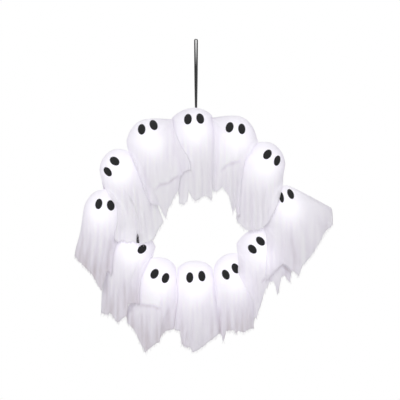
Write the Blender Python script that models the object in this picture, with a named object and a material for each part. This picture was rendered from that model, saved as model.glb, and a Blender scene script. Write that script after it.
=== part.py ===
"""Lighted ghost wreath, in metres, +Z up, front towards -Y.

Twelve hollow balls sit on tubes of a moulded ring. Each is lit from inside by one lamp of a light string
and covered by a ragged white cloth with two black felt eyes. A black ribbon loop through a lug of the ring
carries the wreath, and the origin is the top of that loop. The battery box is moulded on the ring's back.
"""
import math

import bmesh
import bpy
from mathutils import Vector
from mathutils.bvhtree import BVHTree

for old_object in list(bpy.data.objects):
    bpy.data.objects.remove(old_object, do_unlink=True)

# Places in the front view are given in photo pixels, and one pixel is 2 mm of the wreath.
PIXEL = 0.002
LOOP_TOP_PX = (196.0, 38.0)

# Heads: the ball, and the cloth that covers it.
HEAD_Y = -0.0475
BALL_RADIUS = 0.0335
BALL_WALL = 0.0012
BALL_HOLE_RADIUS = 0.0077
BALL_SIDES = 10
BALL_ARC_STEPS = 6
CLOTH_THICKNESS = 0.0008
COVER_SLACK = 0.0023
CROWN_SLACK = 0.0030
CLOTH_HOLE_RADIUS = 0.0079
CLOTH_HOLE_SIDES = 12
CLOTH_HOLE_START = 0.015
LAYER_CLEARANCE = 0.0016
HEAD_CLEARANCE = 0.003
EASING_ROUNDS = 3
EASING_SHARE = 0.9

# The cloth as a grid: rows over the ball, then rows down the front, and fewer behind.
CAP_ROWS = 4
FRONT_ROWS = 6
BACK_ROWS = 3
BACK_COLUMNS = 8
HEM_FRONT_DEPTH = 0.030
HEM_SIDE_DEPTH = 0.008
HEM_ROUNDING = 0.4
PLEAT_DEPTH = 0.0022
PLEAT_SHARE = 0.2
BACK_LENGTH = 0.060
BACK_HALF_WIDTH = 0.027
BACK_HEM_Y = -0.0072
BACK_PLEAT = 0.0009

# Felt eyes.
EYE_HALF_HEIGHT = 0.0104
EYE_THICKNESS = 0.0008
EYE_STAND_OFF = 0.0007
EYE_SIDES = 12

# Moulded ring with its tubes.
RING_CENTRE_PX = (196.0, 206.0)
RING_MIDDLE_RADIUS = 0.164
RING_BAND_WIDTH = 0.016
RING_HALF_THICKNESS = 0.0015
RING_SIDES = 36
CUT_OVERSHOOT = 0.001
SMALL_SIDES = 10
TUBE_SIDES = 10
BORE_SIDES = 8
TUBE_RADIUS = 0.0070
TUBE_BORE_RADIUS = 0.0045
TUBE_FRONT_Y = -0.0225
FLANGE_RADIUS = 0.0120
FLANGE_FRONT_Y = -0.0025
FLANGE_BACK_Y = 0.0020
ARM_HALF_WIDTH = 0.0060
ARM_HALF_THICKNESS = 0.0012

# Lug and ribbon.
LUG_HALF_WIDTH = 0.0070
LUG_HALF_THICKNESS = 0.0014
LUG_FOOT_OVERLAP = 0.004
LUG_HEIGHT = 0.017
SLOT_HALF_WIDTH = 0.0034
SLOT_HEIGHT = 0.004
SLOT_WALL = 0.003
RIBBON_HALF_WIDTH = 0.0020
RIBBON_HALF_THICKNESS = 0.0003
RIBBON_HALF_SPREAD = 0.0030
RIBBON_TWIST = math.radians(55)
RIBBON_BOTTOM_DROP = 0.00075
RISE_STEPS = 14
BEND_STEPS = 6

# Battery box, its three round cells, cover, screw and slide switch.
BOX_HALF_WIDTH = 0.033
BOX_OVERLAP = 0.010
WIRE_BAY_HEIGHT = 0.0056
SWITCH_BAY_HEIGHT = 0.0126
BOX_WALL = 0.002
BOX_FRONT_Y = -0.0010
BOX_FLOOR_Y = 0.0010
BOX_BACK_Y = 0.0175
FIT_GAP = 0.0003
COVER_THICKNESS = 0.0016
CELL_RADIUS = 0.0071
CELL_LENGTH = 0.0490
CELL_NUB_RADIUS = 0.0026
CELL_NUB_LENGTH = 0.0015
CELL_GAP = 0.0006
CELL_Y = 0.0085
CELL_COUNT = 3
CELL_SIDES = 12
SCREW_X = 0.0240
SWITCH_RISE = 0.0060
POST_HALF_WIDTH = 0.0035
PILOT_RADIUS = 0.0014
PILOT_END_Y = 0.0060
SCREW_SHANK_RADIUS = 0.0010
SCREW_HEAD_RADIUS = 0.0026
SCREW_CROWN_RADIUS = 0.0021
SCREW_HEAD_HEIGHT = 0.0015
SCREW_END_Y = 0.0080
SWITCH_TRAVEL = 0.0020
KNOB_HALF_LENGTH = 0.0020
KNOB_HALF_HEIGHT = 0.0015
KNOB_FLANGE_HALF_LENGTH = 0.0048
KNOB_FLANGE_HALF_HEIGHT = 0.0035
KNOB_FLANGE_THICKNESS = 0.0015
KNOB_STAND_OUT = 0.0020
RAIL_HALF_LENGTH = 0.0100
RAIL_HALF_HEIGHT = 0.0020

# Light string: one wire along the ring's back with a lamp in each tube.
WIRE_RADIUS = 0.0008
WIRE_Y = 0.0040
STEM_RADIUS = 0.0012
PLUG_RADIUS = 0.0040
PLUG_BACK_Y = -0.0160
LAMP_RADIUS = 0.0025
LAMP_SIDES = 6
LAMP_TIP_Y = -0.0340
WIRE_HOLE_RADIUS = 0.0013
WIRE_HOLE_SIDES = 8
WIRE_SIDES = 6
STEM_END_Y = WIRE_Y + 0.0009
PLUG_FRONT_Y = -0.0215
WIRE_ENTRY_X = (-0.026, 0.008)
WIRE_FIRST_HEAD = 7
WIRE_INSIDE_DROP = 0.0050
WIRE_OUTSIDE_RISE = 0.0060

# Each ghost, clockwise from the top, in photo pixels. The layer says whose cloth lies over whose: a higher
# layer lies in front. The cloth's rims are where it leaves the ball at the sides, the sides run down from
# there, and the hem runs from left to right. An eye is (x, y, lean in degrees clockwise, half width).
GHOSTS = [
    dict(head=(195.5, 127.3), layer=5, rims=((171.8, 118), (213.5, 119)),
         left=[(175, 135), (177, 150)], right=[(215, 135), (216, 150)],
         hem=[(178, 185), (179.5, 203), (184, 204.5), (187.5, 200), (188.5, 189), (192, 197), (195, 201),
              (199, 199.5), (202, 196.5), (206, 195.5), (211.5, 200), (212.5, 188), (214.5, 187)],
         eyes=[(188.0, 119.4, 8, 3.8), (200.1, 118.8, -17, 3.7)]),
    dict(head=(235.5, 135.3), layer=6, rims=((215.5, 118.5), (256.5, 137)),
         left=[(216, 135), (214, 155), (212.5, 175)],
         right=[(252, 146), (246, 156), (243, 172), (240, 200)],
         hem=[(213, 191), (217, 191.5), (222, 187), (226, 191), (229.5, 197), (231, 204), (233, 213),
              (235.5, 206), (237.5, 216.5), (240, 214)],
         eyes=[(229.6, 127.5, 17, 3.8), (241.6, 129.1, -6, 3.5)]),
    dict(head=(265.5, 161.5), layer=4, rims=((249, 149), (285.5, 164)),
         left=[(244, 162), (240.5, 178), (238, 200)],
         right=[(283.5, 176), (283, 184), (281, 192)],
         hem=[(236.5, 216), (238, 222), (242, 226), (246, 229.5), (252, 231), (255, 228), (258, 229.5),
              (261, 226), (264, 224), (268, 218), (272, 212), (279, 200)],
         eyes=[(267.3, 154.6, 35, 3.7), (276.9, 160.7, 16, 3.0)]),
    dict(head=(287, 205), layer=3, rims=((268.5, 206), (328, 205)),
         left=[(264, 216), (263.5, 228), (266, 236), (266.5, 250)],
         right=[(333, 211), (333, 217)],
         hem=[(265, 281), (270, 277), (274, 272.5), (278, 268), (283, 263.5), (287, 265.5), (291, 270.5),
              (294, 271), (298.5, 275.5), (302, 266), (310, 257), (318, 245), (325, 232), (333, 224)],
         eyes=[(281.6, 197.5, -8, 2.2), (290.5, 194.2, -24, 2.9)]),
    dict(head=(261, 247.5), layer=2, rims=((236.5, 244), (280, 248)),
         left=[(238.3, 262), (238.5, 274), (247, 290), (253, 303)], right=[(282, 252), (287, 262)],
         hem=[(254, 318.5), (256.5, 317), (258, 312), (262, 300), (264, 292), (268, 284.5), (270, 281),
              (274, 281), (277.8, 294), (281, 277), (284, 275), (290, 282.5), (291.5, 270)],
         eyes=[(252.4, 249.1, -42, 3.5), (260.4, 241.2, -45, 3.5)]),
    dict(head=(233, 273), layer=1, rims=((213.7, 270), (252, 273)), left=[(214, 290), (217, 310)],
         right=[(256, 290), (255, 305)],
         hem=[(219, 330), (222, 336), (223.5, 341), (226, 331), (230, 330), (234, 330), (236, 333.5),
              (238, 330.5), (244, 332), (249, 329), (253.5, 328), (254, 317)],
         eyes=[(225.9, 274.6, -25, 3.5), (235.4, 268.4, -26, 3.5)]),
    dict(head=(195.5, 280.5), layer=0, rims=((177.5, 270), (212.8, 272)),
         left=[(176, 300)], right=[(218, 310)],
         hem=[(175, 329.5), (180.5, 331), (181.5, 343.5), (184, 346), (187, 347.5), (190, 346.5),
              (192.5, 352), (196, 351), (205, 344.5), (215, 337), (221, 332), (222, 322)],
         eyes=[(189.9, 277.5, 2, 3.5), (201.7, 276.1, -7, 3.5)]),
    dict(head=(158, 277), layer=1, rims=((139.5, 277), (176, 270)), left=[(136, 290), (128, 303)],
         right=[(178, 295), (176, 312)],
         hem=[(126.5, 315), (127.5, 323), (130, 324.5), (135, 331), (141, 344), (145.5, 352), (150, 348),
              (155, 344), (159.5, 341.5), (160.5, 337), (163, 333), (167, 330.5), (174.5, 328.5)],
         eyes=[(154.7, 273.8, 30, 3.7), (165.4, 278.0, 19, 3.5)]),
    dict(head=(132.5, 249), layer=2, rims=((113.5, 250), (155.5, 247)), left=[(106, 270), (102, 290)],
         right=[(149, 262), (146, 280)],
         hem=[(101, 312.5), (107, 315), (110, 312.5), (112, 315), (115, 319.5), (118, 322.5), (122, 318.5),
              (126.5, 315.5), (128.5, 303.5), (135, 303), (141, 304.5), (147, 305.5)],
         eyes=[(139.9, 239.6, 20, 3.5), (141.9, 249.1, 43, 3.6)]),
    dict(head=(104, 209), layer=3, rims=((83.3, 210), (123, 209)), left=[(80, 232), (76, 247)],
         right=[(131, 218), (134.5, 230), (127, 250)],
         hem=[(74.5, 255), (78, 260.5), (83, 265), (90, 272), (95, 279), (98, 285), (101.5, 290),
              (104.5, 280), (108, 272), (111, 273), (114, 279), (121, 272)],
         eyes=[(99.0, 204.0, 12, 3.4), (110.7, 205.5, -12, 3.7)]),
    dict(head=(118.5, 168.5), layer=4, rims=((99.3, 170), (137, 167)),
         left=[(102, 182), (108, 192), (114, 205), (122, 215), (133, 224)], right=[(145, 185), (157, 205)],
         hem=[(139, 243), (142, 244), (146, 242), (150, 241), (153, 240), (155, 236), (157, 232),
              (158.5, 229), (160, 226), (163.5, 221)],
         eyes=[(108.0, 171.7, -37, 3.2), (114.8, 161.3, -53, 3.9)]),
    dict(head=(148, 138.5), layer=6, rims=((126.3, 141), (170.3, 119.5)),
         left=[(128, 150), (134, 163), (140, 177), (145, 192)],
         right=[(173, 131), (179, 142), (187, 155), (190.5, 163)],
         hem=[(150, 203), (157, 205), (160, 206.5), (163, 213), (166, 218), (168, 208), (171, 205),
              (172.5, 200), (175, 195.5), (178, 191), (180, 177), (184, 171), (191, 169.5)],
         eyes=[(141.8, 129.5, 2, 3.7), (153.6, 125.3, -25, 3.8)]),
]


def place(point):
    """World x and z of a point given in photo pixels."""
    return (point[0] - LOOP_TOP_PX[0]) * PIXEL, (LOOP_TOP_PX[1] - point[1]) * PIXEL


def material(name, colour, roughness, metallic=0.0, glow=None):
    made = bpy.data.materials.new(name)
    made.use_nodes = True
    shader = made.node_tree.nodes["Principled BSDF"]
    shader.inputs["Base Color"].default_value = (*colour, 1.0)
    shader.inputs["Roughness"].default_value = roughness
    shader.inputs["Metallic"].default_value = metallic
    if glow:
        shader.inputs["Emission Color"].default_value = (*glow, 1.0)
        shader.inputs["Emission Strength"].default_value = 1.0
    made.diffuse_color = (*colour, 1.0)
    return made


def add_body(name, vertices, faces, surface, smooth=False):
    """One closed body with its faces turned outward."""
    mesh = bpy.data.meshes.new(name)
    mesh.from_pydata([tuple(vertex) for vertex in vertices], [], faces)
    mesh.materials.append(surface)
    working = bmesh.new()
    working.from_mesh(mesh)
    bmesh.ops.recalc_face_normals(working, faces=working.faces)
    for face in working.faces:
        face.smooth = smooth
    working.to_mesh(mesh)
    working.free()
    body = bpy.data.objects.new(name, mesh)
    bpy.context.collection.objects.link(body)
    return body


def box(name, low, high, surface):
    corners = [(x, y, z) for x in (low[0], high[0]) for y in (low[1], high[1]) for z in (low[2], high[2])]
    sides = [(0, 1, 3, 2), (4, 6, 7, 5), (0, 4, 5, 1), (2, 3, 7, 6), (0, 2, 6, 4), (1, 5, 7, 3)]
    return add_body(name, corners, sides, surface)


def turned(name, centre, profile, sides, surface, axis="Y", smooth=True, closed=False):
    """A body turned about an axis through centre: profile holds (distance along the axis, radius)."""
    vertices = []
    rings = []
    for along, radius in profile:
        ring = []
        count = 1 if radius == 0 else sides
        for step in range(count):
            angle = 2 * math.pi * step / sides
            across = radius * math.cos(angle)
            up = radius * math.sin(angle)
            offset = (across, along, up) if axis == "Y" else (along, across, up)
            ring.append(len(vertices))
            vertices.append(Vector(centre) + Vector(offset))
        rings.append(ring)
    pairs = list(zip(rings, rings[1:]))
    if closed:
        pairs.append((rings[-1], rings[0]))
    faces = []
    for first, second in pairs:
        for step in range(sides):
            after = (step + 1) % sides
            if len(first) == 1:
                faces.append((first[0], second[after], second[step]))
            elif len(second) == 1:
                faces.append((first[step], first[after], second[0]))
            else:
                faces.append((first[step], first[after], second[after], second[step]))
    return add_body(name, vertices, faces, surface, smooth)


def swept(name, stations, surface, closed=False, smooth=True):
    """A body through a row of equal cross-sections, each a list of points."""
    sides = len(stations[0])
    vertices = [point for station in stations for point in station]
    faces = []
    steps = len(stations) if closed else len(stations) - 1
    for row in range(steps):
        for side in range(sides):
            after = (side + 1) % sides
            here = row * sides
            there = (row + 1) % len(stations) * sides
            faces.append((here + side, here + after, there + after, there + side))
    if not closed:
        faces.append(tuple(range(sides)))
        faces.append(tuple(range(len(vertices) - sides, len(vertices))))
    return add_body(name, vertices, faces, surface, smooth)


def combine(body, tools, operation):
    """Join tools to the body or cut them out of it."""
    for tool in tools:
        tool.hide_render = True
        tool.display_type = "WIRE"
        change = body.modifiers.new(operation.lower(), "BOOLEAN")
        change.operation = operation
        change.solver = "EXACT"
        change.object = tool
    bpy.context.view_layer.update()
    shaped = bpy.data.meshes.new_from_object(body.evaluated_get(bpy.context.evaluated_depsgraph_get()))
    body.modifiers.clear()
    body.data = shaped
    for tool in tools:
        bpy.data.objects.remove(tool, do_unlink=True)
    working = bmesh.new()
    working.from_mesh(shaped)
    bmesh.ops.remove_doubles(working, verts=working.verts, dist=0.00001)
    bmesh.ops.recalc_face_normals(working, faces=working.faces)
    working.to_mesh(shaped)
    working.free()


def joined(name, bodies):
    """Separate bodies as one tool."""
    vertices = []
    faces = []
    for body in bodies:
        start = len(vertices)
        vertices += [vertex.co.copy() for vertex in body.data.vertices]
        faces += [tuple(start + index for index in polygon.vertices) for polygon in body.data.polygons]
        surface = body.data.materials[0]
        bpy.data.objects.remove(body, do_unlink=True)
    return add_body(name, vertices, faces, surface)


white_plastic = material("white_moulded_plastic", (0.86, 0.86, 0.86), 0.45)
ball_plastic = material("frosted_white_plastic_lit", (0.90, 0.90, 0.92), 0.50, glow=(0.85, 0.85, 0.88))
cloth = material("white_gauze_cloth", (0.80, 0.79, 0.85), 0.90)
black_felt = material("black_felt", (0.018, 0.018, 0.020), 0.95)
black_satin = material("black_satin_ribbon", (0.012, 0.012, 0.014), 0.55)
wire_insulation = material("clear_wire_insulation", (0.75, 0.76, 0.78), 0.35)
zinc_steel = material("zinc_plated_steel", (0.55, 0.55, 0.57), 0.35, metallic=1.0)
cell_sleeve = material("battery_sleeve", (0.10, 0.11, 0.13), 0.40)
switch_plastic = material("switch_black_plastic", (0.03, 0.03, 0.03), 0.45)

# The cloth lies a little off the ball, and stands higher at its crown.
cover_radius = BALL_RADIUS + CLOTH_THICKNESS + COVER_SLACK
cover_height = cover_radius + CROWN_SLACK

# Moulded ring: a flat band, an arm, a flange and a tube for each head, the ribbon lug and the battery box.
ring_x, ring_z = place(RING_CENTRE_PX)
heads = [place(ghost["head"]) for ghost in GHOSTS]
ring_inner_radius = RING_MIDDLE_RADIUS - RING_BAND_WIDTH / 2
ring_outer_radius = RING_MIDDLE_RADIUS + RING_BAND_WIDTH / 2
lug_foot_z = ring_z + ring_outer_radius - LUG_FOOT_OVERLAP
lug_top_z = lug_foot_z + LUG_HEIGHT
slot_top_z = lug_top_z - SLOT_WALL
slot_bottom_z = slot_top_z - SLOT_HEIGHT
box_top_z = ring_z - ring_outer_radius + BOX_OVERLAP
cell_pitch = 2 * CELL_RADIUS + CELL_GAP
first_cell_z = box_top_z - BOX_WALL - WIRE_BAY_HEIGHT - CELL_RADIUS
last_cell_z = first_cell_z - (CELL_COUNT - 1) * cell_pitch
box_bottom_z = last_cell_z - CELL_RADIUS - SWITCH_BAY_HEIGHT - BOX_WALL
switch_z = box_bottom_z + BOX_WALL + SWITCH_RISE
band = [(-RING_HALF_THICKNESS, ring_inner_radius), (-RING_HALF_THICKNESS, ring_outer_radius),
        (RING_HALF_THICKNESS, ring_outer_radius), (RING_HALF_THICKNESS, ring_inner_radius)]
ring_frame = turned("ring_frame", (ring_x, 0, ring_z), band, RING_SIDES, white_plastic,
                    smooth=False, closed=True)
tube_profile = [(TUBE_FRONT_Y, 0), (TUBE_FRONT_Y, TUBE_RADIUS), (FLANGE_FRONT_Y, TUBE_RADIUS),
                (FLANGE_FRONT_Y, FLANGE_RADIUS), (FLANGE_BACK_Y, FLANGE_RADIUS), (FLANGE_BACK_Y, 0)]
bore_profile = [(TUBE_FRONT_Y - CUT_OVERSHOOT, 0), (TUBE_FRONT_Y - CUT_OVERSHOOT, TUBE_BORE_RADIUS),
                (FLANGE_BACK_Y + CUT_OVERSHOOT, TUBE_BORE_RADIUS), (FLANGE_BACK_Y + CUT_OVERSHOOT, 0)]
tubes = joined("tubes", [turned("tube", (x, 0, z), tube_profile, TUBE_SIDES, white_plastic)
                         for x, z in heads])
bores = joined("bores", [turned("bore", (x, 0, z), bore_profile, BORE_SIDES, white_plastic)
                         for x, z in heads])
arms = []
for head_x, head_z in heads:
    outward = Vector((head_x - ring_x, 0, head_z - ring_z))
    inset = outward.length - RING_MIDDLE_RADIUS
    outward.normalize()
    reach = outward * (inset + math.copysign(ARM_HALF_WIDTH, inset))
    across = outward.cross(Vector((0, 1, 0))) * ARM_HALF_WIDTH
    deep = Vector((0, ARM_HALF_THICKNESS, 0))
    head = Vector((head_x, 0, head_z))
    arms.append(swept("arm", [[centre - across - deep, centre + across - deep,
                               centre + across + deep, centre - across + deep]
                              for centre in (head, head - reach)], white_plastic))
lug = box("lug", (-LUG_HALF_WIDTH, -LUG_HALF_THICKNESS, lug_foot_z),
          (LUG_HALF_WIDTH, LUG_HALF_THICKNESS, lug_top_z), white_plastic)
slot_reach = LUG_HALF_THICKNESS + CUT_OVERSHOOT
slot = box("slot", (-SLOT_HALF_WIDTH, -slot_reach, slot_bottom_z),
           (SLOT_HALF_WIDTH, slot_reach, slot_top_z), white_plastic)
case = box("case", (-BOX_HALF_WIDTH, BOX_FRONT_Y, box_bottom_z), (BOX_HALF_WIDTH, BOX_BACK_Y, box_top_z),
           white_plastic)
room = box("room", (BOX_WALL - BOX_HALF_WIDTH, BOX_FLOOR_Y, box_bottom_z + BOX_WALL),
           (BOX_HALF_WIDTH - BOX_WALL, BOX_BACK_Y + CUT_OVERSHOOT, box_top_z - BOX_WALL), white_plastic)
post = box("post", (SCREW_X - POST_HALF_WIDTH, BOX_FRONT_Y / 2, switch_z - POST_HALF_WIDTH),
           (SCREW_X + POST_HALF_WIDTH, BOX_BACK_Y - FIT_GAP, switch_z + POST_HALF_WIDTH), white_plastic)
knob_floor_y = BOX_BACK_Y - KNOB_FLANGE_THICKNESS
rail = box("rail", (-RAIL_HALF_LENGTH, BOX_FRONT_Y / 2, switch_z - RAIL_HALF_HEIGHT),
           (RAIL_HALF_LENGTH, knob_floor_y - FIT_GAP, switch_z + RAIL_HALF_HEIGHT), white_plastic)
pilot = turned("pilot", (SCREW_X, 0, switch_z),
               [(PILOT_END_Y, 0), (PILOT_END_Y, PILOT_RADIUS), (BOX_BACK_Y, PILOT_RADIUS), (BOX_BACK_Y, 0)],
               SMALL_SIDES, white_plastic)
wire_holes = []
for entry_x in WIRE_ENTRY_X:
    hole_ring = []
    for end_z in (box_top_z - 2 * BOX_WALL, box_top_z + BOX_WALL):
        angles = [2 * math.pi * side / WIRE_HOLE_SIDES for side in range(WIRE_HOLE_SIDES)]
        hole_ring.append([Vector((entry_x + WIRE_HOLE_RADIUS * math.cos(angle),
                                  CELL_Y + WIRE_HOLE_RADIUS * math.sin(angle), end_z)) for angle in angles])
    wire_holes.append(swept("wire_hole", hole_ring, white_plastic))
combine(ring_frame, [joined("arms", arms), case, tubes, lug], "UNION")
combine(ring_frame, [room, bores, slot], "DIFFERENCE")
combine(ring_frame, [post, rail], "UNION")
combine(ring_frame, [pilot, joined("wire_holes", wire_holes)], "DIFFERENCE")

# Round cells lie across the box, one above the other.
for number in range(CELL_COUNT):
    half = CELL_LENGTH / 2
    cell_profile = [(-half, 0), (-half, CELL_RADIUS), (half, CELL_RADIUS), (half, CELL_NUB_RADIUS),
                    (half + CELL_NUB_LENGTH, CELL_NUB_RADIUS), (half + CELL_NUB_LENGTH, 0)]
    if number == 1:
        cell_profile = [(-along, radius) for along, radius in cell_profile]
    cell_z = first_cell_z - number * cell_pitch
    turned(f"battery_{number + 1}", (0, CELL_Y, cell_z), cell_profile, CELL_SIDES, cell_sleeve, axis="X")

# Cover on the back of the box, with a slot for the switch and a hole for its one screw.
cover_front_y = BOX_BACK_Y + FIT_GAP
cover_back_y = cover_front_y + COVER_THICKNESS
cover = box("battery_cover", (-BOX_HALF_WIDTH, cover_front_y, box_bottom_z),
            (BOX_HALF_WIDTH, cover_back_y, box_top_z), white_plastic)
slot_half_length = KNOB_HALF_LENGTH + SWITCH_TRAVEL + FIT_GAP
slot_half_height = KNOB_HALF_HEIGHT + FIT_GAP
switch_slot = box("switch_slot",
                  (-slot_half_length, cover_front_y - CUT_OVERSHOOT, switch_z - slot_half_height),
                  (slot_half_length, cover_back_y + CUT_OVERSHOOT, switch_z + slot_half_height),
                  white_plastic)
through = (cover_front_y - CUT_OVERSHOOT, cover_back_y + CUT_OVERSHOOT)
screw_hole = turned("screw_hole", (SCREW_X, 0, switch_z),
                    [(through[0], 0), (through[0], PILOT_RADIUS),
                     (through[1], PILOT_RADIUS), (through[1], 0)], SMALL_SIDES, white_plastic)
combine(cover, [switch_slot, screw_hole], "DIFFERENCE")

# The cover's screw, with its head just off the cover.
head_y = cover_back_y + FIT_GAP
turned("cover_screw", (SCREW_X, 0, switch_z),
       [(SCREW_END_Y, 0), (SCREW_END_Y, SCREW_SHANK_RADIUS), (head_y, SCREW_SHANK_RADIUS),
        (head_y, SCREW_HEAD_RADIUS), (head_y + SCREW_HEAD_HEIGHT, SCREW_CROWN_RADIUS),
        (head_y + SCREW_HEAD_HEIGHT, 0)], SMALL_SIDES, zinc_steel)

# Slide switch: a nub through the cover on a flange that stays inside. It is drawn in the middle.
flange_y = (knob_floor_y, BOX_BACK_Y)
nub_y = (BOX_BACK_Y - KNOB_FLANGE_THICKNESS / 2, cover_back_y + KNOB_STAND_OUT)
knob = box("switch_knob", (-KNOB_FLANGE_HALF_LENGTH, flange_y[0], -KNOB_FLANGE_HALF_HEIGHT),
           (KNOB_FLANGE_HALF_LENGTH, flange_y[1], KNOB_FLANGE_HALF_HEIGHT), switch_plastic)
nub = box("nub", (-KNOB_HALF_LENGTH, nub_y[0], -KNOB_HALF_HEIGHT),
          (KNOB_HALF_LENGTH, nub_y[1], KNOB_HALF_HEIGHT), switch_plastic)
combine(knob, [nub], "UNION")
knob.location = (0, 0, switch_z)

# Light string: the wire leaves the box, passes behind every tube and returns, with a lamp in each tube.
start_x, end_x = WIRE_ENTRY_X
wire_end_z = (box_top_z - WIRE_INSIDE_DROP, box_top_z + WIRE_OUTSIDE_RISE)
wire_path = [(start_x, CELL_Y, wire_end_z[0]), (start_x, CELL_Y, wire_end_z[1])]
order = list(range(WIRE_FIRST_HEAD, len(heads))) + list(range(WIRE_FIRST_HEAD))
for position, index in enumerate(order):
    head_x, head_z = heads[index]
    wire_path.append((head_x, WIRE_Y, head_z))
    if position < len(order) - 1:
        next_x, next_z = heads[order[position + 1]]
        between = Vector(((head_x + next_x) / 2 - ring_x, 0, (head_z + next_z) / 2 - ring_z))
        between = between.normalized() * RING_MIDDLE_RADIUS
        wire_path.append((ring_x + between.x, WIRE_Y, ring_z + between.z))
wire_path += [(end_x, CELL_Y, wire_end_z[1]), (end_x, CELL_Y, wire_end_z[0])]
wire_path = [Vector(point) for point in wire_path]
wire_stations = []
for index, point in enumerate(wire_path):
    before = wire_path[max(index - 1, 0)]
    after = wire_path[min(index + 1, len(wire_path) - 1)]
    along = (after - before).normalized()
    sideways = along.cross(Vector((0, 1, 0))).normalized()
    upward = sideways.cross(along)
    angles = [2 * math.pi * side / WIRE_SIDES for side in range(WIRE_SIDES)]
    wire_stations.append([point + WIRE_RADIUS * (sideways * math.cos(angle) + upward * math.sin(angle))
                          for angle in angles])
light_string = swept("light_string", wire_stations, wire_insulation)
lamp_profile = [(STEM_END_Y, 0), (STEM_END_Y, STEM_RADIUS), (PLUG_BACK_Y, STEM_RADIUS),
                (PLUG_BACK_Y, PLUG_RADIUS), (PLUG_FRONT_Y, PLUG_RADIUS), (PLUG_FRONT_Y, LAMP_RADIUS),
                (LAMP_TIP_Y + LAMP_RADIUS, LAMP_RADIUS), (LAMP_TIP_Y, 0)]
lamps = joined("lamps", [turned("lamp", (x, 0, z), lamp_profile, LAMP_SIDES, wire_insulation)
                         for x, z in heads])
combine(light_string, [lamps], "UNION")

# Ribbon: one flat loop through the lug. It turns from face-on at the lug to nearly edge-on at the top.
ribbon_stations = []
upper_z = -RIBBON_HALF_THICKNESS - RIBBON_HALF_SPREAD
lower_z = slot_top_z - FIT_GAP - RIBBON_HALF_THICKNESS


def ribbon_section(centre_x, centre_y, height, normal, twist):
    across = Vector((math.cos(twist), math.sin(twist), 0))
    centre = Vector((centre_x, centre_y, height))
    wide = across * RIBBON_HALF_WIDTH
    thin = normal * RIBBON_HALF_THICKNESS
    return [centre - wide - thin, centre + wide - thin, centre + wide + thin, centre - wide + thin]


for half in (1, -1):
    for step in range(RISE_STEPS + 1):
        share = step / RISE_STEPS if half == 1 else 1 - step / RISE_STEPS
        turn = RIBBON_TWIST * share
        apart = Vector((math.sin(turn), -math.cos(turn), 0)) * half
        centre = apart * RIBBON_HALF_SPREAD
        height = lower_z + (upper_z - lower_z) * share
        ribbon_stations.append(ribbon_section(centre.x, centre.y, height, apart, turn))
    turn = RIBBON_TWIST if half == 1 else 0.0
    bend_z, bend_height = (upper_z, RIBBON_HALF_SPREAD) if half == 1 else (lower_z, -RIBBON_BOTTOM_DROP)
    outward = Vector((math.sin(turn), -math.cos(turn), 0)) * half
    for step in range(1, BEND_STEPS):
        angle = math.pi * step / BEND_STEPS
        centre = outward * math.cos(angle) * RIBBON_HALF_SPREAD
        height = bend_z + bend_height * math.sin(angle)
        normal = (outward * math.cos(angle) * abs(bend_height)
                  + Vector((0, 0, half)) * math.sin(angle) * RIBBON_HALF_SPREAD).normalized()
        ribbon_stations.append(ribbon_section(centre.x, centre.y, height, normal, turn))
swept("hanging_ribbon", ribbon_stations, black_satin, closed=True)

# Hollow balls, open at the back where the tube enters.
outer_end = math.pi - math.asin(BALL_HOLE_RADIUS / BALL_RADIUS)
inner_radius = BALL_RADIUS - BALL_WALL
inner_end = math.pi - math.asin(BALL_HOLE_RADIUS / inner_radius)
ball_profile = []
for radius, end in ((BALL_RADIUS, outer_end), (inner_radius, inner_end)):
    arc = [(-radius * math.cos(end * step / BALL_ARC_STEPS), radius * math.sin(end * step / BALL_ARC_STEPS))
           for step in range(1, BALL_ARC_STEPS + 1)]
    arc.insert(0, (-radius, 0))
    ball_profile += arc if radius == BALL_RADIUS else arc[::-1]
obstacle_vertices = []
obstacle_faces = []


def add_obstacle(body):
    """Later cloths lie in front of this body."""
    start = len(obstacle_vertices)
    obstacle_vertices.extend(vertex.co.copy() for vertex in body.data.vertices)
    for polygon in body.data.polygons:
        obstacle_faces.append(tuple(start + index for index in polygon.vertices))


for number, (head_x, head_z) in enumerate(heads, start=1):
    ball = turned(f"ball_{number:02d}", (head_x, HEAD_Y, head_z), ball_profile, BALL_SIDES, ball_plastic)
    add_obstacle(ball)


def along_line(points, share):
    """The point at a share of a polyline's length."""
    lengths = [math.dist(first, second) for first, second in zip(points, points[1:])]
    left_over = share * sum(lengths)
    for index, length in enumerate(lengths):
        if left_over <= length or index == len(lengths) - 1:
            blend = min(left_over / length, 1.0)
            first, second = points[index], points[index + 1]
            return (first[0] + (second[0] - first[0]) * blend,
                    first[1] + (second[1] - first[1]) * blend)
        left_over -= length


def first_hit(tree, x, z):
    """Place and facing of the foremost surface at x and z, or two times None."""
    return tree.ray_cast(Vector((x, -1.0, z)), Vector((0, 1, 0)), 2.0)[:2]


def cap_point(ghost, angle, lean):
    """A point of the cap: angle goes from the front round to the right, lean from the top down."""
    head_x, head_z = place(ghost["head"])
    x = cover_radius * math.sin(angle) * math.sin(lean)
    y = -cover_radius * math.cos(angle) * math.sin(lean)
    z = cover_height * math.cos(lean)
    rim_x, rim_z = place(ghost["rims"][1] if math.sin(angle) > 0 else ghost["rims"][0])
    pull = math.sin(angle) ** 2 * (lean / (math.pi / 2)) ** 2
    x += (rim_x - head_x - math.copysign(cover_radius, math.sin(angle))) * pull
    z += (rim_z - head_z) * pull
    return Vector((head_x + x, HEAD_Y + y, head_z + z))


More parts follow.
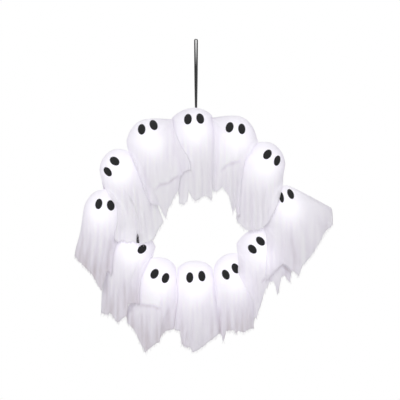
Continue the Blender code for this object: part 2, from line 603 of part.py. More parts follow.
def front_grid(ghost):
    """Rows of points from the ball's top down to the hem, before the cloth meets anything."""
    columns = len(ghost["hem"]) - 1
    angles = [math.pi * (column / columns - 0.5) for column in range(columns + 1)]
    rows = [[cap_point(ghost, angle, math.pi / 2 * row / CAP_ROWS) for angle in angles]
            for row in range(CAP_ROWS + 1)]
    rim = [(point.x, point.z) for point in rows[-1]]
    hem = [place(point) for point in ghost["hem"]]
    spans = [abs(second[0] - first[0]) for first, second in zip(hem, hem[1:])]
    narrowest = [min(pair) for pair in zip(spans + spans[-1:], spans[:1] + spans)]
    left = [rim[0]] + [place(point) for point in ghost["left"]] + [hem[0]]
    right = [rim[-1]] + [place(point) for point in ghost["right"]] + [hem[-1]]
    for row in range(1, FRONT_ROWS + 1):
        down = row / FRONT_ROWS
        left_point = along_line(left, down)
        right_point = along_line(right, down)
        line = []
        for column, angle in enumerate(angles):
            over = column / columns
            flat = []
            for axis in (0, 1):
                sides = (1 - over) * left_point[axis] + over * right_point[axis]
                ends = (1 - down) * rim[column][axis] + down * hem[column][axis]
                corners = ((1 - over) * ((1 - down) * rim[0][axis] + down * hem[0][axis])
                           + over * ((1 - down) * rim[-1][axis] + down * hem[-1][axis]))
                flat.append(sides + ends - corners)
            front = cover_radius + (HEM_FRONT_DEPTH - cover_radius) * down
            side = HEM_SIDE_DEPTH * down
            rounded = max(math.cos(angle), 0.0) ** (1 - HEM_ROUNDING * down)
            pleat = min(PLEAT_DEPTH, PLEAT_SHARE * narrowest[column]) * down * (column % 2)
            line.append(Vector((flat[0], HEAD_Y - side - (front - side) * rounded - pleat, flat[1])))
        rows.append(line)
    return rows


def settle(rows, tree):
    """Bring the cloth forward wherever something already lies behind it, easing off around it."""
    samples = (0.0, 0.2, 0.4, 0.6, 0.8, 1.0)
    height, width = len(rows), len(rows[0])
    push = [[0.0] * width for _ in range(height)]
    for row in range(height - 1):
        for column in range(width - 1):
            upper_left, upper_right = rows[row][column], rows[row][column + 1]
            lower_left, lower_right = rows[row + 1][column], rows[row + 1][column + 1]
            nearest = None
            for down in samples:
                for over in samples:
                    point = (upper_left * (1 - over) + upper_right * over) * (1 - down)
                    point += (lower_left * (1 - over) + lower_right * over) * down
                    spot = first_hit(tree, point.x, point.z)[0]
                    if spot and (nearest is None or spot.y < nearest):
                        nearest = spot.y
            if nearest is None:
                continue
            limit = nearest - CLOTH_THICKNESS - LAYER_CLEARANCE
            for r, c in ((row, column), (row, column + 1), (row + 1, column), (row + 1, column + 1)):
                push[r][c] = max(push[r][c], rows[r][c].y - limit)
    push[0] = [0.0] * width
    needed = [line[:] for line in push]
    for _ in range(EASING_ROUNDS):
        eased = [line[:] for line in push]
        for row in range(2, height):
            for column in range(width):
                near = [push[r][c] for r in range(max(row - 1, 1), min(row + 2, height))
                        for c in range(max(column - 1, 0), min(column + 2, width))]
                eased[row][column] = max(needed[row][column], EASING_SHARE * sum(near) / len(near))
        push = eased
    for row in range(1, height):
        for column in range(width):
            rows[row][column].y -= push[row][column]


def behind_heads(ghost, x, z):
    """How far back the cloth must hang to pass behind the other heads."""
    reach = cover_height + HEAD_CLEARANCE
    furthest = -1.0
    for other, (head_x, head_z) in zip(GHOSTS, heads):
        distance = math.hypot(x - head_x, z - head_z)
        if other is not ghost and distance < reach:
            furthest = max(furthest, HEAD_Y + math.sqrt(reach ** 2 - distance ** 2))
    return furthest


def drape(number, ghost, tree):
    """The cloth of one ghost: a cap over the ball, a front and a back panel, open at both sides."""
    head_x, head_z = place(ghost["head"])
    rows = front_grid(ghost)
    settle(rows, tree)
    columns = len(rows[0]) - 1
    vertices = [rows[0][0]]
    rings = []
    for row in range(1, CAP_ROWS + 1):
        ring = []
        for point in rows[row]:
            ring.append(len(vertices))
            vertices.append(point)
        for column in range(1, BACK_COLUMNS):
            angle = math.pi / 2 + math.pi * column / BACK_COLUMNS
            ring.append(len(vertices))
            vertices.append(cap_point(ghost, angle, math.pi / 2 * row / CAP_ROWS))
        rings.append(ring)
    first_ring = rings[0]
    faces = [(0, point, after) for point, after in zip(first_ring, first_ring[1:] + first_ring[:1])]
    for upper, lower in zip(rings, rings[1:]):
        for index in range(len(upper)):
            after = (index + 1) % len(upper)
            faces += [(upper[index], lower[index], lower[after]),
                      (upper[index], lower[after], upper[after])]

    front = [rings[-1][:columns + 1]]
    for row in range(CAP_ROWS + 1, len(rows)):
        front.append(list(range(len(vertices), len(vertices) + columns + 1)))
        vertices += rows[row]
    back = [rings[-1][columns:] + [rings[-1][0]]]
    for row in range(1, BACK_ROWS + 1):
        down = row / BACK_ROWS
        line = []
        for column, top_index in enumerate(back[0]):
            top = vertices[top_index]
            over = 1 - 2 * column / BACK_COLUMNS
            target_x = head_x + BACK_HALF_WIDTH * over
            x = top.x + (target_x - top.x) * down
            z = top.z + (head_z - BACK_LENGTH - top.z) * down
            rounded = 1 - (1 - down) * over ** 4
            hang = BACK_HEM_Y + (HEAD_Y + cover_radius - BACK_HEM_Y) * (1 - down)
            y = HEAD_Y + (hang - HEAD_Y) * (rounded if abs(over) < 1 else down ** 0.5)
            y -= BACK_PLEAT * down * (column % 2)
            y = max(y, behind_heads(ghost, x, z))
            line.append(len(vertices))
            vertices.append(Vector((x, y, z)))
        back.append(line)
    for panel in (front, back):
        for upper, lower in zip(panel, panel[1:]):
            for index in range(len(upper) - 1):
                faces += [(upper[index], lower[index], lower[index + 1]),
                          (upper[index], lower[index + 1], upper[index + 1])]

    sheet = bmesh.new()
    outer = [sheet.verts.new(vertex) for vertex in vertices]
    for face in faces:
        sheet.faces.new([outer[index] for index in face])
    bmesh.ops.recalc_face_normals(sheet, faces=sheet.faces)
    sheet.normal_update()
    if outer[0].normal.z < 0:
        bmesh.ops.reverse_faces(sheet, faces=sheet.faces)
        sheet.normal_update()
    sheet.verts.index_update()
    count = len(vertices)
    inner = [vertex.co - vertex.normal * CLOTH_THICKNESS for vertex in outer]
    solid_faces = [[vertex.index for vertex in face.verts] for face in sheet.faces]
    solid_faces += [[count + index for index in reversed(face)] for face in solid_faces]
    for edge in sheet.edges:
        if edge.is_boundary:
            first, second = edge.verts[0].index, edge.verts[1].index
            solid_faces.append([first, second, count + second, count + first])
    sheet.free()
    body = add_body(f"drape_{number:02d}", vertices + inner, solid_faces, cloth, smooth=True)
    add_obstacle(body)
    hole = turned("hole", (head_x, 0, head_z),
                  [(HEAD_Y + CLOTH_HOLE_START, 0), (HEAD_Y + CLOTH_HOLE_START, CLOTH_HOLE_RADIUS),
                   (FLANGE_FRONT_Y, CLOTH_HOLE_RADIUS), (FLANGE_FRONT_Y, 0)], CLOTH_HOLE_SIDES, cloth)
    combine(body, [hole], "DIFFERENCE")


def eye(name, place_px, lean, half_width, tree):
    """A felt oval that lies on the cloth."""
    centre_x, centre_z = place(place_px)
    turn = math.radians(lean)
    spots = [(0.0, 0.0)]
    for side in range(EYE_SIDES):
        angle = 2 * math.pi * side / EYE_SIDES
        across = half_width * math.cos(angle)
        up = EYE_HALF_HEIGHT * math.sin(angle)
        spots.append((across * math.cos(turn) + up * math.sin(turn),
                      up * math.cos(turn) - across * math.sin(turn)))
    backs = []
    fronts = []
    for offset_x, offset_z in spots:
        spot, facing = first_hit(tree, centre_x + offset_x, centre_z + offset_z)
        if spot is None:
            beside = Vector((centre_x + offset_x, HEAD_Y, centre_z + offset_z))
            spot, facing = tree.find_nearest(beside)[:2]
        backs.append(spot + facing * EYE_STAND_OFF)
        fronts.append(spot + facing * (EYE_STAND_OFF + EYE_THICKNESS))
    lift = 0.0
    shares = (0.0, 0.25, 0.5, 0.75)
    for side in range(1, EYE_SIDES + 1):
        for near in shares:
            for far in shares:
                if near + far <= 1.0:
                    point = backs[0] * (1 - near - far) + backs[side] * near
                    point += backs[side % EYE_SIDES + 1] * far
                    spot = first_hit(tree, point.x, point.z)[0]
                    lift = max(lift, point.y - spot.y + EYE_STAND_OFF if spot else 0.0)
    for point in backs + fronts:
        point.y -= lift
    count = len(spots)
    faces = []
    for side in range(1, count):
        after = side % EYE_SIDES + 1
        faces += [(0, side, after), (count, count + after, count + side),
                  (side, after, count + after, count + side)]
    add_obstacle(add_body(name, backs + fronts, faces, black_felt))


# Cloths go on from the lowest layer up, each with its eyes, so that each lies on those before it.
for layer in sorted({ghost["layer"] for ghost in GHOSTS}):
    for number, ghost in enumerate(GHOSTS, start=1):
        if ghost["layer"] != layer:
            continue
        drape(number, ghost, BVHTree.FromPolygons(obstacle_vertices, obstacle_faces))
        covered = BVHTree.FromPolygons(obstacle_vertices, obstacle_faces)
        for side, (x, y, lean, half_width) in zip(("left", "right"), ghost["eyes"]):
            eye(f"eye_{number:02d}_{side}", (x, y), lean, half_width * PIXEL, covered)
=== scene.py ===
"""Looks of the lighted ghost wreath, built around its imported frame. Metres, +Z up, front towards -Y."""

import math
import random

import bmesh
import bpy
import numpy as np
from mathutils import Matrix, Vector, noise
from mathutils.bvhtree import BVHTree


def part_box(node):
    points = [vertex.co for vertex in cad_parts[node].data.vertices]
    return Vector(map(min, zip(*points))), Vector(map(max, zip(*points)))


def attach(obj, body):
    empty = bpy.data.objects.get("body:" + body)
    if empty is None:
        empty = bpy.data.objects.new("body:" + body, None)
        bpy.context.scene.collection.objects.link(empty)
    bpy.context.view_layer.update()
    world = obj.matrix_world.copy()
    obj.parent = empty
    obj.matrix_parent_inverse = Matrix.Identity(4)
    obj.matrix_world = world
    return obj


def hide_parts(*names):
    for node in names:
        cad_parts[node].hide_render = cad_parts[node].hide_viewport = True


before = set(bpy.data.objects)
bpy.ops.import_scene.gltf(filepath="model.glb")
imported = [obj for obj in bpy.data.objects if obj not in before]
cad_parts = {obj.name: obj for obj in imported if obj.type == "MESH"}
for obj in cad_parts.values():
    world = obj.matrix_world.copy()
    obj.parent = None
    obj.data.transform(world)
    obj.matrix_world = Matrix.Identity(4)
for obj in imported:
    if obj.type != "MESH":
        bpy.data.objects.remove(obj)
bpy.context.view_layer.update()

# The photograph's view: a camera level with the wreath and far off, so that it draws almost without
# perspective. One photo pixel is 2 mm just in front of the heads, and the ribbon loop's top is the origin.
PIXEL = 0.002
LOOP_TOP_PX = (196.0, 38.0)
PHOTO_CENTRE_PX = (200.0, 200.0)
PHOTO_WIDTH_PX = 400
CAMERA_DISTANCE = 12.0
TRUE_SCALE_DEPTH = 0.02
SENSOR_WIDTH_MM = 36.0
CAMERA_REACH = 60
BALL_RADIUS = 0.0335
head_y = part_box("ball_01")[0].y + BALL_RADIUS


def place(point):
    """World x and z of a point given in photo pixels."""
    return (point[0] - LOOP_TOP_PX[0]) * PIXEL, (LOOP_TOP_PX[1] - point[1]) * PIXEL


view_x, view_z = place(PHOTO_CENTRE_PX)
camera_data = bpy.data.cameras.new("camera")
camera_data.sensor_width = SENSOR_WIDTH_MM
camera_data.lens = SENSOR_WIDTH_MM * CAMERA_DISTANCE / (PHOTO_WIDTH_PX * PIXEL)
camera_data.clip_end = CAMERA_REACH
camera = bpy.data.objects.new("camera", camera_data)
camera.location = (view_x, head_y - TRUE_SCALE_DEPTH - CAMERA_DISTANCE, view_z)
camera.rotation_euler = (math.pi / 2, 0, 0)
bpy.context.scene.collection.objects.link(camera)
bpy.context.scene.camera = camera
bpy.context.scene.view_settings.view_transform = "Standard"

# Soft studio light: two large soft boxes in front, above and beside the camera, and a pale room.
# The backdrop is white to the camera, and the floor keeps the wreath's shadow.
LIGHTS = {
    "front_softbox": dict(at=(-1.3, -3.0, 1.4), size=2.4, power=46.0),
    "side_softbox": dict(at=(2.2, -2.2, 0.2), size=1.8, power=11.0),
}
ROOM_LEVEL = 0.40


def colour(code):
    """Linear colour with alpha of an sRGB hex code."""
    parts = [int(code[at:at + 2], 16) / 255 for at in (1, 3, 5)]
    return tuple(part / 12.92 if part <= 0.04045 else ((part + 0.055) / 1.055) ** 2.4 for part in parts) + (1.0,)


def add(tree, kind, links=(), **settings):
    """Add a node: settings are its properties or its inputs' values, links are (input, output) pairs."""
    made = tree.nodes.new(kind)
    for name, value in settings.items():
        if hasattr(made, name):
            setattr(made, name, value)
        else:
            made.inputs[name.replace("_", " ")].default_value = value
    for name, output in links:
        tree.links.new(made.inputs[name], output)
    return made


def new_material(name):
    """An empty node material with its output node."""
    made = bpy.data.materials.new(name)
    made.use_nodes = True
    made.node_tree.nodes.clear()
    return made, made.node_tree, made.node_tree.nodes.new("ShaderNodeOutputMaterial")


def toned(tree, level, dark, pale):
    """The colour between two tones at a level from 0 to 1."""
    made = add(tree, "ShaderNodeMix", [("Factor", level)], data_type="RGBA")
    made.inputs["A"].default_value = colour(dark)
    made.inputs["B"].default_value = colour(pale)
    return made.outputs["Result"]


world = bpy.data.worlds.new("studio")
bpy.context.scene.world = world
world.use_nodes = True
room = world.node_tree
room.nodes.clear()
rays = add(room, "ShaderNodeLightPath")
seen = add(room, "ShaderNodeMath", [(0, rays.outputs["Is Camera Ray"]), (1, rays.outputs["Is Glossy Ray"])],
           operation="MAXIMUM")
seen = add(room, "ShaderNodeMath", [(0, seen.outputs[0]), (1, rays.outputs["Is Transmission Ray"])],
           operation="MAXIMUM")
pale = add(room, "ShaderNodeBackground", Color=colour("#FFFFFF"), Strength=ROOM_LEVEL)
white = add(room, "ShaderNodeBackground", Color=colour("#FFFFFF"), Strength=1.0)
both = add(room, "ShaderNodeMixShader", [(0, seen.outputs[0]), (1, pale.outputs[0]), (2, white.outputs[0])])
add(room, "ShaderNodeOutputWorld", [("Surface", both.outputs[0])])

for light_name, facts in LIGHTS.items():
    light_data = bpy.data.lights.new(light_name, "AREA")
    light_data.size = facts["size"]
    light_data.energy = facts["power"]
    light = bpy.data.objects.new(light_name, light_data)
    light.location = facts["at"]
    aim = Vector((view_x, head_y, view_z)) - light.location
    light.rotation_euler = aim.to_track_quat("-Z", "Y").to_euler()
    bpy.context.scene.collection.objects.link(light)

# Studio floor: a painted board well below the wreath. It stages the photograph and isn't part of the object.
# Matt white paint shows nothing but the soft shadow, and glows just enough for the camera to lose its edge.
FLOOR_Z = -0.86
FLOOR_HALF = 4.0
FLOOR_GLOW = 0.5


def finished(name, vertices, faces, material, smooth=True, edges=()):
    """A mesh piece at the origin with its place in its mesh."""
    mesh = bpy.data.meshes.new(name)
    mesh.from_pydata([tuple(vertex) for vertex in vertices], edges, faces)
    mesh.materials.append(material)
    mesh.shade_smooth() if smooth else mesh.shade_flat()
    made = bpy.data.objects.new(name, mesh)
    bpy.context.scene.collection.objects.link(made)
    return made


floor_paint, tree, output = new_material("matt_white_floor_paint")
rays = add(tree, "ShaderNodeLightPath")
grain = add(tree, "ShaderNodeTexNoise", [("Vector", add(tree, "ShaderNodeTexCoord").outputs["Object"])], Scale=6.0)
paint = add(tree, "ShaderNodeBsdfDiffuse", [("Color", toned(tree, grain.outputs["Fac"], "#EFEFEF", "#F2F2F2"))])
shine = add(tree, "ShaderNodeMath", [(0, rays.outputs["Is Camera Ray"])], operation="MULTIPLY")
shine.inputs[1].default_value = FLOOR_GLOW
lift = add(tree, "ShaderNodeEmission", [("Strength", shine.outputs[0])])
whole = add(tree, "ShaderNodeAddShader", [(0, paint.outputs[0]), (1, lift.outputs[0])])
tree.links.new(output.inputs["Surface"], whole.outputs[0])
floor_corners = [(x * FLOOR_HALF, y * FLOOR_HALF, FLOOR_Z) for x, y in ((-1, -1), (1, -1), (1, 1), (-1, 1))]
finished("floor", floor_corners, [(0, 1, 2, 3)], floor_paint, smooth=False)

# Moulded ring with its arms, tubes, lug and open battery box: injection moulded white ABS. Its parts run
# into each other, as they do in one moulding, and every tube is bored through for its lamp.
def faced_outward(piece):
    """Turn a closed piece's faces outward."""
    working = bmesh.new()
    working.from_mesh(piece.data)
    bmesh.ops.recalc_face_normals(working, faces=working.faces)
    working.to_mesh(piece.data)
    working.free()
    return piece


def settled(piece):
    """Make what a piece's modifiers give its own plain mesh."""
    bpy.context.view_layer.update()
    plain = bpy.data.meshes.new_from_object(piece.evaluated_get(bpy.context.evaluated_depsgraph_get()))
    piece.modifiers.clear()
    piece.data = plain
    return plain


def turned(name, centre, profile, sides, material):
    """A body turned about a line along Y: profile holds (distance along it, radius), and 0 closes it."""
    vertices = []
    rings = []
    for along, radius in profile:
        count = 1 if radius < 1e-9 else sides
        rings.append(list(range(len(vertices), len(vertices) + count)))
        for step in range(count):
            angle = 2 * math.pi * step / sides
            vertices.append(Vector(centre) + Vector((radius * math.cos(angle), along, radius * math.sin(angle))))
    faces = []
    for first, second in zip(rings, rings[1:]):
        for step in range(sides):
            after = (step + 1) % sides
            corners = [first[step % len(first)], first[after % len(first)],
                       second[after % len(second)], second[step % len(second)]]
            faces.append(tuple(dict.fromkeys(corners)))
    return faced_outward(finished(name, vertices, faces, material))


def rod(name, x, z, y_from, y_to, radius, sides, material):
    """A round rod along Y."""
    return turned(name, (x, 0, z), [(y_from, 0), (y_from, radius), (y_to, radius), (y_to, 0)], sides, material)


BLOCK_SIDES = [(0, 1, 3, 2), (4, 6, 7, 5), (0, 4, 5, 1), (2, 3, 7, 6), (0, 2, 6, 4), (1, 5, 7, 3)]


def block(name, low, high, material):
    """A box between two corners."""
    corners = [(x, y, z) for x in (low[0], high[0]) for y in (low[1], high[1]) for z in (low[2], high[2])]
    return finished(name, corners, BLOCK_SIDES, material, smooth=False)


EDGE_SEGMENTS = 3
SHARP_FROM = math.radians(35)


def carved(piece, tools, round_edge):
    """Cut the tools out of a piece, round its edges and make it a plain mesh."""
    for tool in tools:
        made = piece.modifiers.new("cut", "BOOLEAN")
        made.object = tool
        made.solver = "EXACT"
    rounding = piece.modifiers.new("rounding", "BEVEL")
    rounding.width = round_edge
    rounding.segments = EDGE_SEGMENTS
    rounding.limit_method = "ANGLE"
    plain = settled(piece)
    plain.shade_smooth()
    plain.set_sharp_from_angle(angle=SHARP_FROM)
    for tool in tools:
        bpy.data.objects.remove(tool, do_unlink=True)


# White ABS: clouds so faint that they only keep the surface from looking flat, and the mould's spark
# texture, which breaks up its sheen.
MOULD_GRAIN = 0.0006
white_abs, tree, output = new_material("white_moulded_abs")
here = add(tree, "ShaderNodeTexCoord").outputs["Object"]
cloudy = add(tree, "ShaderNodeTexNoise", [("Vector", here)], Scale=30.0, Detail=3.0)
tone = toned(tree, cloudy.outputs["Fac"], "#F0F0EE", "#F7F7F5")
spark = add(tree, "ShaderNodeTexNoise", [("Vector", here)], Scale=1 / MOULD_GRAIN, Detail=2.0)
relief = add(tree, "ShaderNodeBump", [("Height", spark.outputs["Fac"])], Strength=0.25, Distance=0.0001)
surface = add(tree, "ShaderNodeBsdfPrincipled", [("Base Color", tone), ("Normal", relief.outputs[0])],
              Roughness=0.45, IOR=1.53)
tree.links.new(output.inputs["Surface"], surface.outputs[0])

RING_CENTRE_PX = (196, 206)
RING_MIDDLE_RADIUS = 0.164
RING_HALF_BAND = 0.008
RING_HALF_THICKNESS = 0.0015
HEADS_PX = [(195.5, 127.3), (235.5, 135.3), (265.5, 161.5), (287, 205), (261, 247.5), (233, 273), (195.5, 280.5),
            (158, 277), (132.5, 249), (104, 209), (118.5, 168.5), (148, 138.5)]
TUBE_PROFILE = [(-0.0225, 0), (-0.0225, 0.0070), (-0.0025, 0.0070), (-0.0025, 0.0120), (0.0020, 0.0120), (0.0020, 0)]
BORE_RADIUS = 0.0045
BORE_REACH = (-0.030, 0.010)
ARM_HALF_WIDTH = 0.0060
ARM_HALF_THICKNESS = 0.0012
LUG_HALF_WIDTH = 0.0070
LUG_HALF_THICKNESS = 0.0014
LUG_FOOT_OVERLAP = 0.004
LUG_HEIGHT = 0.017
LUG_SLOT_HALF_WIDTH = 0.0034
LUG_SLOT_DROP = (0.007, 0.003)
BOX_FRONT_Y = -0.0010
BOX_FLOOR_Y = 0.0010
BOX_WALL = 0.0020
POST_HALF = 0.0035
WIRE_ENTRY_X = (-0.026, 0.008)
WIRE_BAY_Y = 0.0085
WIRE_HOLE_RADIUS = 0.0014
PILOT_RADIUS = 0.0014
PILOT_END_Y = 0.0060
FIT_GAP = 0.0003
CUT_OVERSHOOT = 0.010
MOULD_EDGE = 0.0004
BAND_SIDES = 180
TUBE_SIDES = 40
BORE_SIDES = 32
WIRE_HOLE_SIDES = 20
PILOT_SIDES = 24
heads = [place(point) for point in HEADS_PX]
ring_x, ring_z = place(RING_CENTRE_PX)
cover_low, cover_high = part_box("battery_cover")
screw_low, screw_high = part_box("cover_screw")
screw_x, screw_z = (screw_low.x + screw_high.x) / 2, (screw_low.z + screw_high.z) / 2
box_back_y = cover_low.y - FIT_GAP
lug_top = ring_z + RING_MIDDLE_RADIUS + RING_HALF_BAND - LUG_FOOT_OVERLAP + LUG_HEIGHT


def bore(head):
    """The room of one tube's bore."""
    return rod("bore", *head, *BORE_REACH, BORE_RADIUS, BORE_SIDES, white_abs)


def moulded(piece, name, cuts):
    """One part of the moulding, with what is cut out of it."""
    piece.name = name
    carved(piece, cuts, MOULD_EDGE)
    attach(piece, "wreath")


near = [head for head in heads
        if abs(math.hypot(head[0] - ring_x, head[1] - ring_z) - RING_MIDDLE_RADIUS) < RING_HALF_BAND + BORE_RADIUS]
band_section = [(-RING_HALF_THICKNESS, -RING_HALF_BAND), (-RING_HALF_THICKNESS, RING_HALF_BAND),
                (RING_HALF_THICKNESS, RING_HALF_BAND), (RING_HALF_THICKNESS, -RING_HALF_BAND)]
band_points = []
band_faces = []
for step in range(BAND_SIDES):
    angle = 2 * math.pi * step / BAND_SIDES
    band_points += [(ring_x + (RING_MIDDLE_RADIUS + out) * math.cos(angle), y,
                     ring_z + (RING_MIDDLE_RADIUS + out) * math.sin(angle)) for y, out in band_section]
    after = (step + 1) % BAND_SIDES
    band_faces += [(4 * step + side, 4 * after + side, 4 * after + (side + 1) % 4, 4 * step + (side + 1) % 4)
                   for side in range(4)]
band = faced_outward(finished("band", band_points, band_faces, white_abs))
moulded(band, "ring_band", [bore(head) for head in near])
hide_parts("ring_frame")
for number, (head_x, head_z) in enumerate(heads, start=1):
    outward = Vector((head_x - ring_x, 0, head_z - ring_z))
    inset = outward.length - RING_MIDDLE_RADIUS
    outward.normalize()
    far = Vector((head_x, 0, head_z)) - outward * (inset + math.copysign(ARM_HALF_WIDTH, inset))
    across = outward.cross(Vector((0, 1, 0))) * ARM_HALF_WIDTH
    deep = Vector((0, ARM_HALF_THICKNESS, 0))
    corners = [end + side * across + level * deep for end in (Vector((head_x, 0, head_z)), far)
               for side in (-1, 1) for level in (-1, 1)]
    arm = faced_outward(finished("arm", corners, BLOCK_SIDES, white_abs))
    moulded(arm, f"ring_arm_{number:02d}", [bore((head_x, head_z))])
    tube = turned("tube", (head_x, 0, head_z), TUBE_PROFILE, TUBE_SIDES, white_abs)
    moulded(tube, f"ring_tube_{number:02d}", [bore((head_x, head_z))])
lug = block("lug", (-LUG_HALF_WIDTH, -LUG_HALF_THICKNESS, lug_top - LUG_HEIGHT),
            (LUG_HALF_WIDTH, LUG_HALF_THICKNESS, lug_top), white_abs)
lug_slot = block("lug_slot", (-LUG_SLOT_HALF_WIDTH, -CUT_OVERSHOOT, lug_top - LUG_SLOT_DROP[0]),
                 (LUG_SLOT_HALF_WIDTH, CUT_OVERSHOOT, lug_top - LUG_SLOT_DROP[1]), white_abs)
moulded(lug, "ribbon_lug", [lug_slot])
cuts = [block("room", (cover_low.x + BOX_WALL, BOX_FLOOR_Y, cover_low.z + BOX_WALL),
              (cover_high.x - BOX_WALL, box_back_y + CUT_OVERSHOOT, cover_high.z - BOX_WALL), white_abs)]
for entry_x in WIRE_ENTRY_X:
    wire_hole = rod("wire_hole", 0, 0, -CUT_OVERSHOOT / 2, CUT_OVERSHOOT / 2, WIRE_HOLE_RADIUS, WIRE_HOLE_SIDES,
                    white_abs)
    entry = Matrix.Translation((entry_x, WIRE_BAY_Y, cover_high.z))
    wire_hole.data.transform(entry @ Matrix.Rotation(math.pi / 2, 4, "X"))
    cuts.append(wire_hole)
case = block("case", (cover_low.x, BOX_FRONT_Y, cover_low.z), (cover_high.x, box_back_y, cover_high.z), white_abs)
moulded(case, "battery_case", cuts)
post = block("cover_post", (screw_x - POST_HALF, BOX_FRONT_Y / 2, screw_z - POST_HALF),
             (screw_x + POST_HALF, box_back_y - FIT_GAP, screw_z + POST_HALF), white_abs)
carved(post, [rod("pilot", screw_x, screw_z, PILOT_END_Y, box_back_y + CUT_OVERSHOOT, PILOT_RADIUS, PILOT_SIDES,
                  white_abs)], MOULD_EDGE / 2)
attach(post, "wreath")

# Battery cover: a separate white ABS plate with rounded edges, a slot for the switch, a hole for its
# screw and moulded ribs where a thumb pushes.
COVER_EDGE = 0.0005
RIB_COUNT = 7
RIB_SIZE = (0.020, 0.0009, 0.0012)
RIB_SPACING = 0.0030
RIB_DROP = 0.010
SLOT_HALF = (0.0043, 0.0018)
COVER_OVERSHOOT = 0.001
cover = block("battery_cover_plate", cover_low, cover_high, white_abs)
through_y = (cover_low.y - COVER_OVERSHOOT, cover_high.y + COVER_OVERSHOOT)
switch_slot = block("switch_slot", (-SLOT_HALF[0], through_y[0], screw_z - SLOT_HALF[1]),
                    (SLOT_HALF[0], through_y[1], screw_z + SLOT_HALF[1]), white_abs)
screw_hole = rod("screw_hole", screw_x, screw_z, *through_y, PILOT_RADIUS, PILOT_SIDES, white_abs)
carved(cover, [switch_slot, screw_hole], COVER_EDGE)
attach(cover, "wreath")
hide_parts("battery_cover")


def node_tree(name, result, inputs):
    """A geometry node tree with named inputs: the tree, its inputs' identifiers and its input node's outputs."""
    made = bpy.data.node_groups.new(name, "GeometryNodeTree")
    made.is_modifier = True
    sockets = {}
    for socket, kind in inputs.items():
        sockets[socket] = made.interface.new_socket(socket, in_out="INPUT", socket_type="NodeSocket" + kind).identifier
    made.interface.new_socket(result, in_out="OUTPUT", socket_type="NodeSocketGeometry")
    return made, sockets, add(made, "NodeGroupInput").outputs


def made_by(piece, tree, sockets, values):
    """Let a node tree make a piece, as a plain mesh."""
    made = piece.modifiers.new(tree.name, "NODES")
    made.node_group = tree
    for name, value in values.items():
        made[sockets[name]] = value
    settled(piece)
    return piece


# The ribs: a tree that sets out boxes in a row.
ribbing, rib_sockets, given = node_tree("thumb_ribs", "Ribs", {
    "Plate": "Geometry", "Count": "Int", "Top Rib": "Vector", "Spacing": "Vector", "Rib Size": "Vector",
    "Plastic": "Material"})
places = add(ribbing, "GeometryNodeMeshLine", [("Count", given["Count"]), ("Start Location", given["Top Rib"]),
                                               ("Offset", given["Spacing"])])
one_rib = add(ribbing, "GeometryNodeMeshCube", [("Size", given["Rib Size"])])
set_out = add(ribbing, "GeometryNodeInstanceOnPoints",
              [("Points", places.outputs[0]), ("Instance", one_rib.outputs[0])])
real = add(ribbing, "GeometryNodeRealizeInstances", [("Geometry", set_out.outputs[0])])
clad = add(ribbing, "GeometryNodeSetMaterial", [("Geometry", real.outputs[0]), ("Material", given["Plastic"])])
add(ribbing, "NodeGroupOutput", [("Ribs", clad.outputs[0])])
ribs = made_by(finished("battery_cover_ribs", [(0, 0, 0)], [], white_abs), ribbing, rib_sockets, {
    "Count": RIB_COUNT, "Top Rib": (0.0, cover_high.y, cover_high.z - RIB_DROP), "Spacing": (0.0, 0.0, -RIB_SPACING),
    "Rib Size": RIB_SIZE, "Plastic": white_abs})
carved(ribs, [], RIB_SIZE[1] / 4)
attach(ribs, "wreath")

# Switch, screw and cells: a ridged black ABS knob that slides in the cover's slot, a zinc plated pan head
# screw with a cross recess, and three round cells in shrunk dark sleeves.


def grained(name, scale, dark, pale, roughness, detail=2.0, relief=None, **settings):
    """A material of two close tones in a fine grain, with relief if given, and its tree and shader."""
    made, tree, output = new_material(name)
    here = add(tree, "ShaderNodeTexCoord").outputs["Object"]
    grain = add(tree, "ShaderNodeTexNoise", [("Vector", here)], Scale=scale, Detail=detail)
    links = [("Base Color", toned(tree, grain.outputs["Fac"], dark, pale))]
    if relief:
        bump = add(tree, "ShaderNodeBump", [("Height", grain.outputs["Fac"])], Strength=relief[0], Distance=relief[1])
        links.append(("Normal", bump.outputs[0]))
    shader = add(tree, "ShaderNodeBsdfPrincipled", links, Roughness=roughness, **settings)
    tree.links.new(output.inputs["Surface"], shader.outputs[0])
    return made, tree, shader


# Black ABS: the spark texture's paler specks keep the knob's ridges readable in shadow.
black_abs = grained("black_moulded_abs", 1 / MOULD_GRAIN, "#1B1B1C", "#262627", 0.5)[0]

KNOB_TEETH = 3
KNOB_TOOTH_DEPTH = 0.0004
KNOB_TOOTH_STEPS = (0.0002, 0.0009, 0.0011)
KNOB_EDGE = 0.00012
NUB_HALF_LENGTH = 0.0020
NUB_HALF_HEIGHT = 0.0015
KNOB_FLANGE_THICKNESS = 0.0015
knob_low, knob_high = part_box("switch_knob")
flange_back_y = knob_low.y + KNOB_FLANGE_THICKNESS
tooth_foot_y = knob_high.y - KNOB_TOOTH_DEPTH
knob_z = (knob_low.z + knob_high.z) / 2
outline = [(-NUB_HALF_LENGTH, flange_back_y), (-NUB_HALF_LENGTH, tooth_foot_y)]
for tooth in range(KNOB_TEETH):
    start = -NUB_HALF_LENGTH + 2 * NUB_HALF_LENGTH * tooth / KNOB_TEETH
    outline += [(start + step, y) for step, y in zip(KNOB_TOOTH_STEPS, (knob_high.y, knob_high.y, tooth_foot_y))]
outline += [(NUB_HALF_LENGTH, tooth_foot_y), (NUB_HALF_LENGTH, flange_back_y), (knob_high.x, flange_back_y),
            (knob_high.x, knob_low.y), (knob_low.x, knob_low.y), (knob_low.x, flange_back_y)]
count = len(outline)
knob_points = [(x, y, knob_z + side * NUB_HALF_HEIGHT) for side in (-1, 1) for x, y in outline]
knob_faces = [tuple(range(count)), tuple(range(2 * count - 1, count - 1, -1))]
knob_faces += [(at, count + at, count + (at + 1) % count, (at + 1) % count) for at in range(count)]
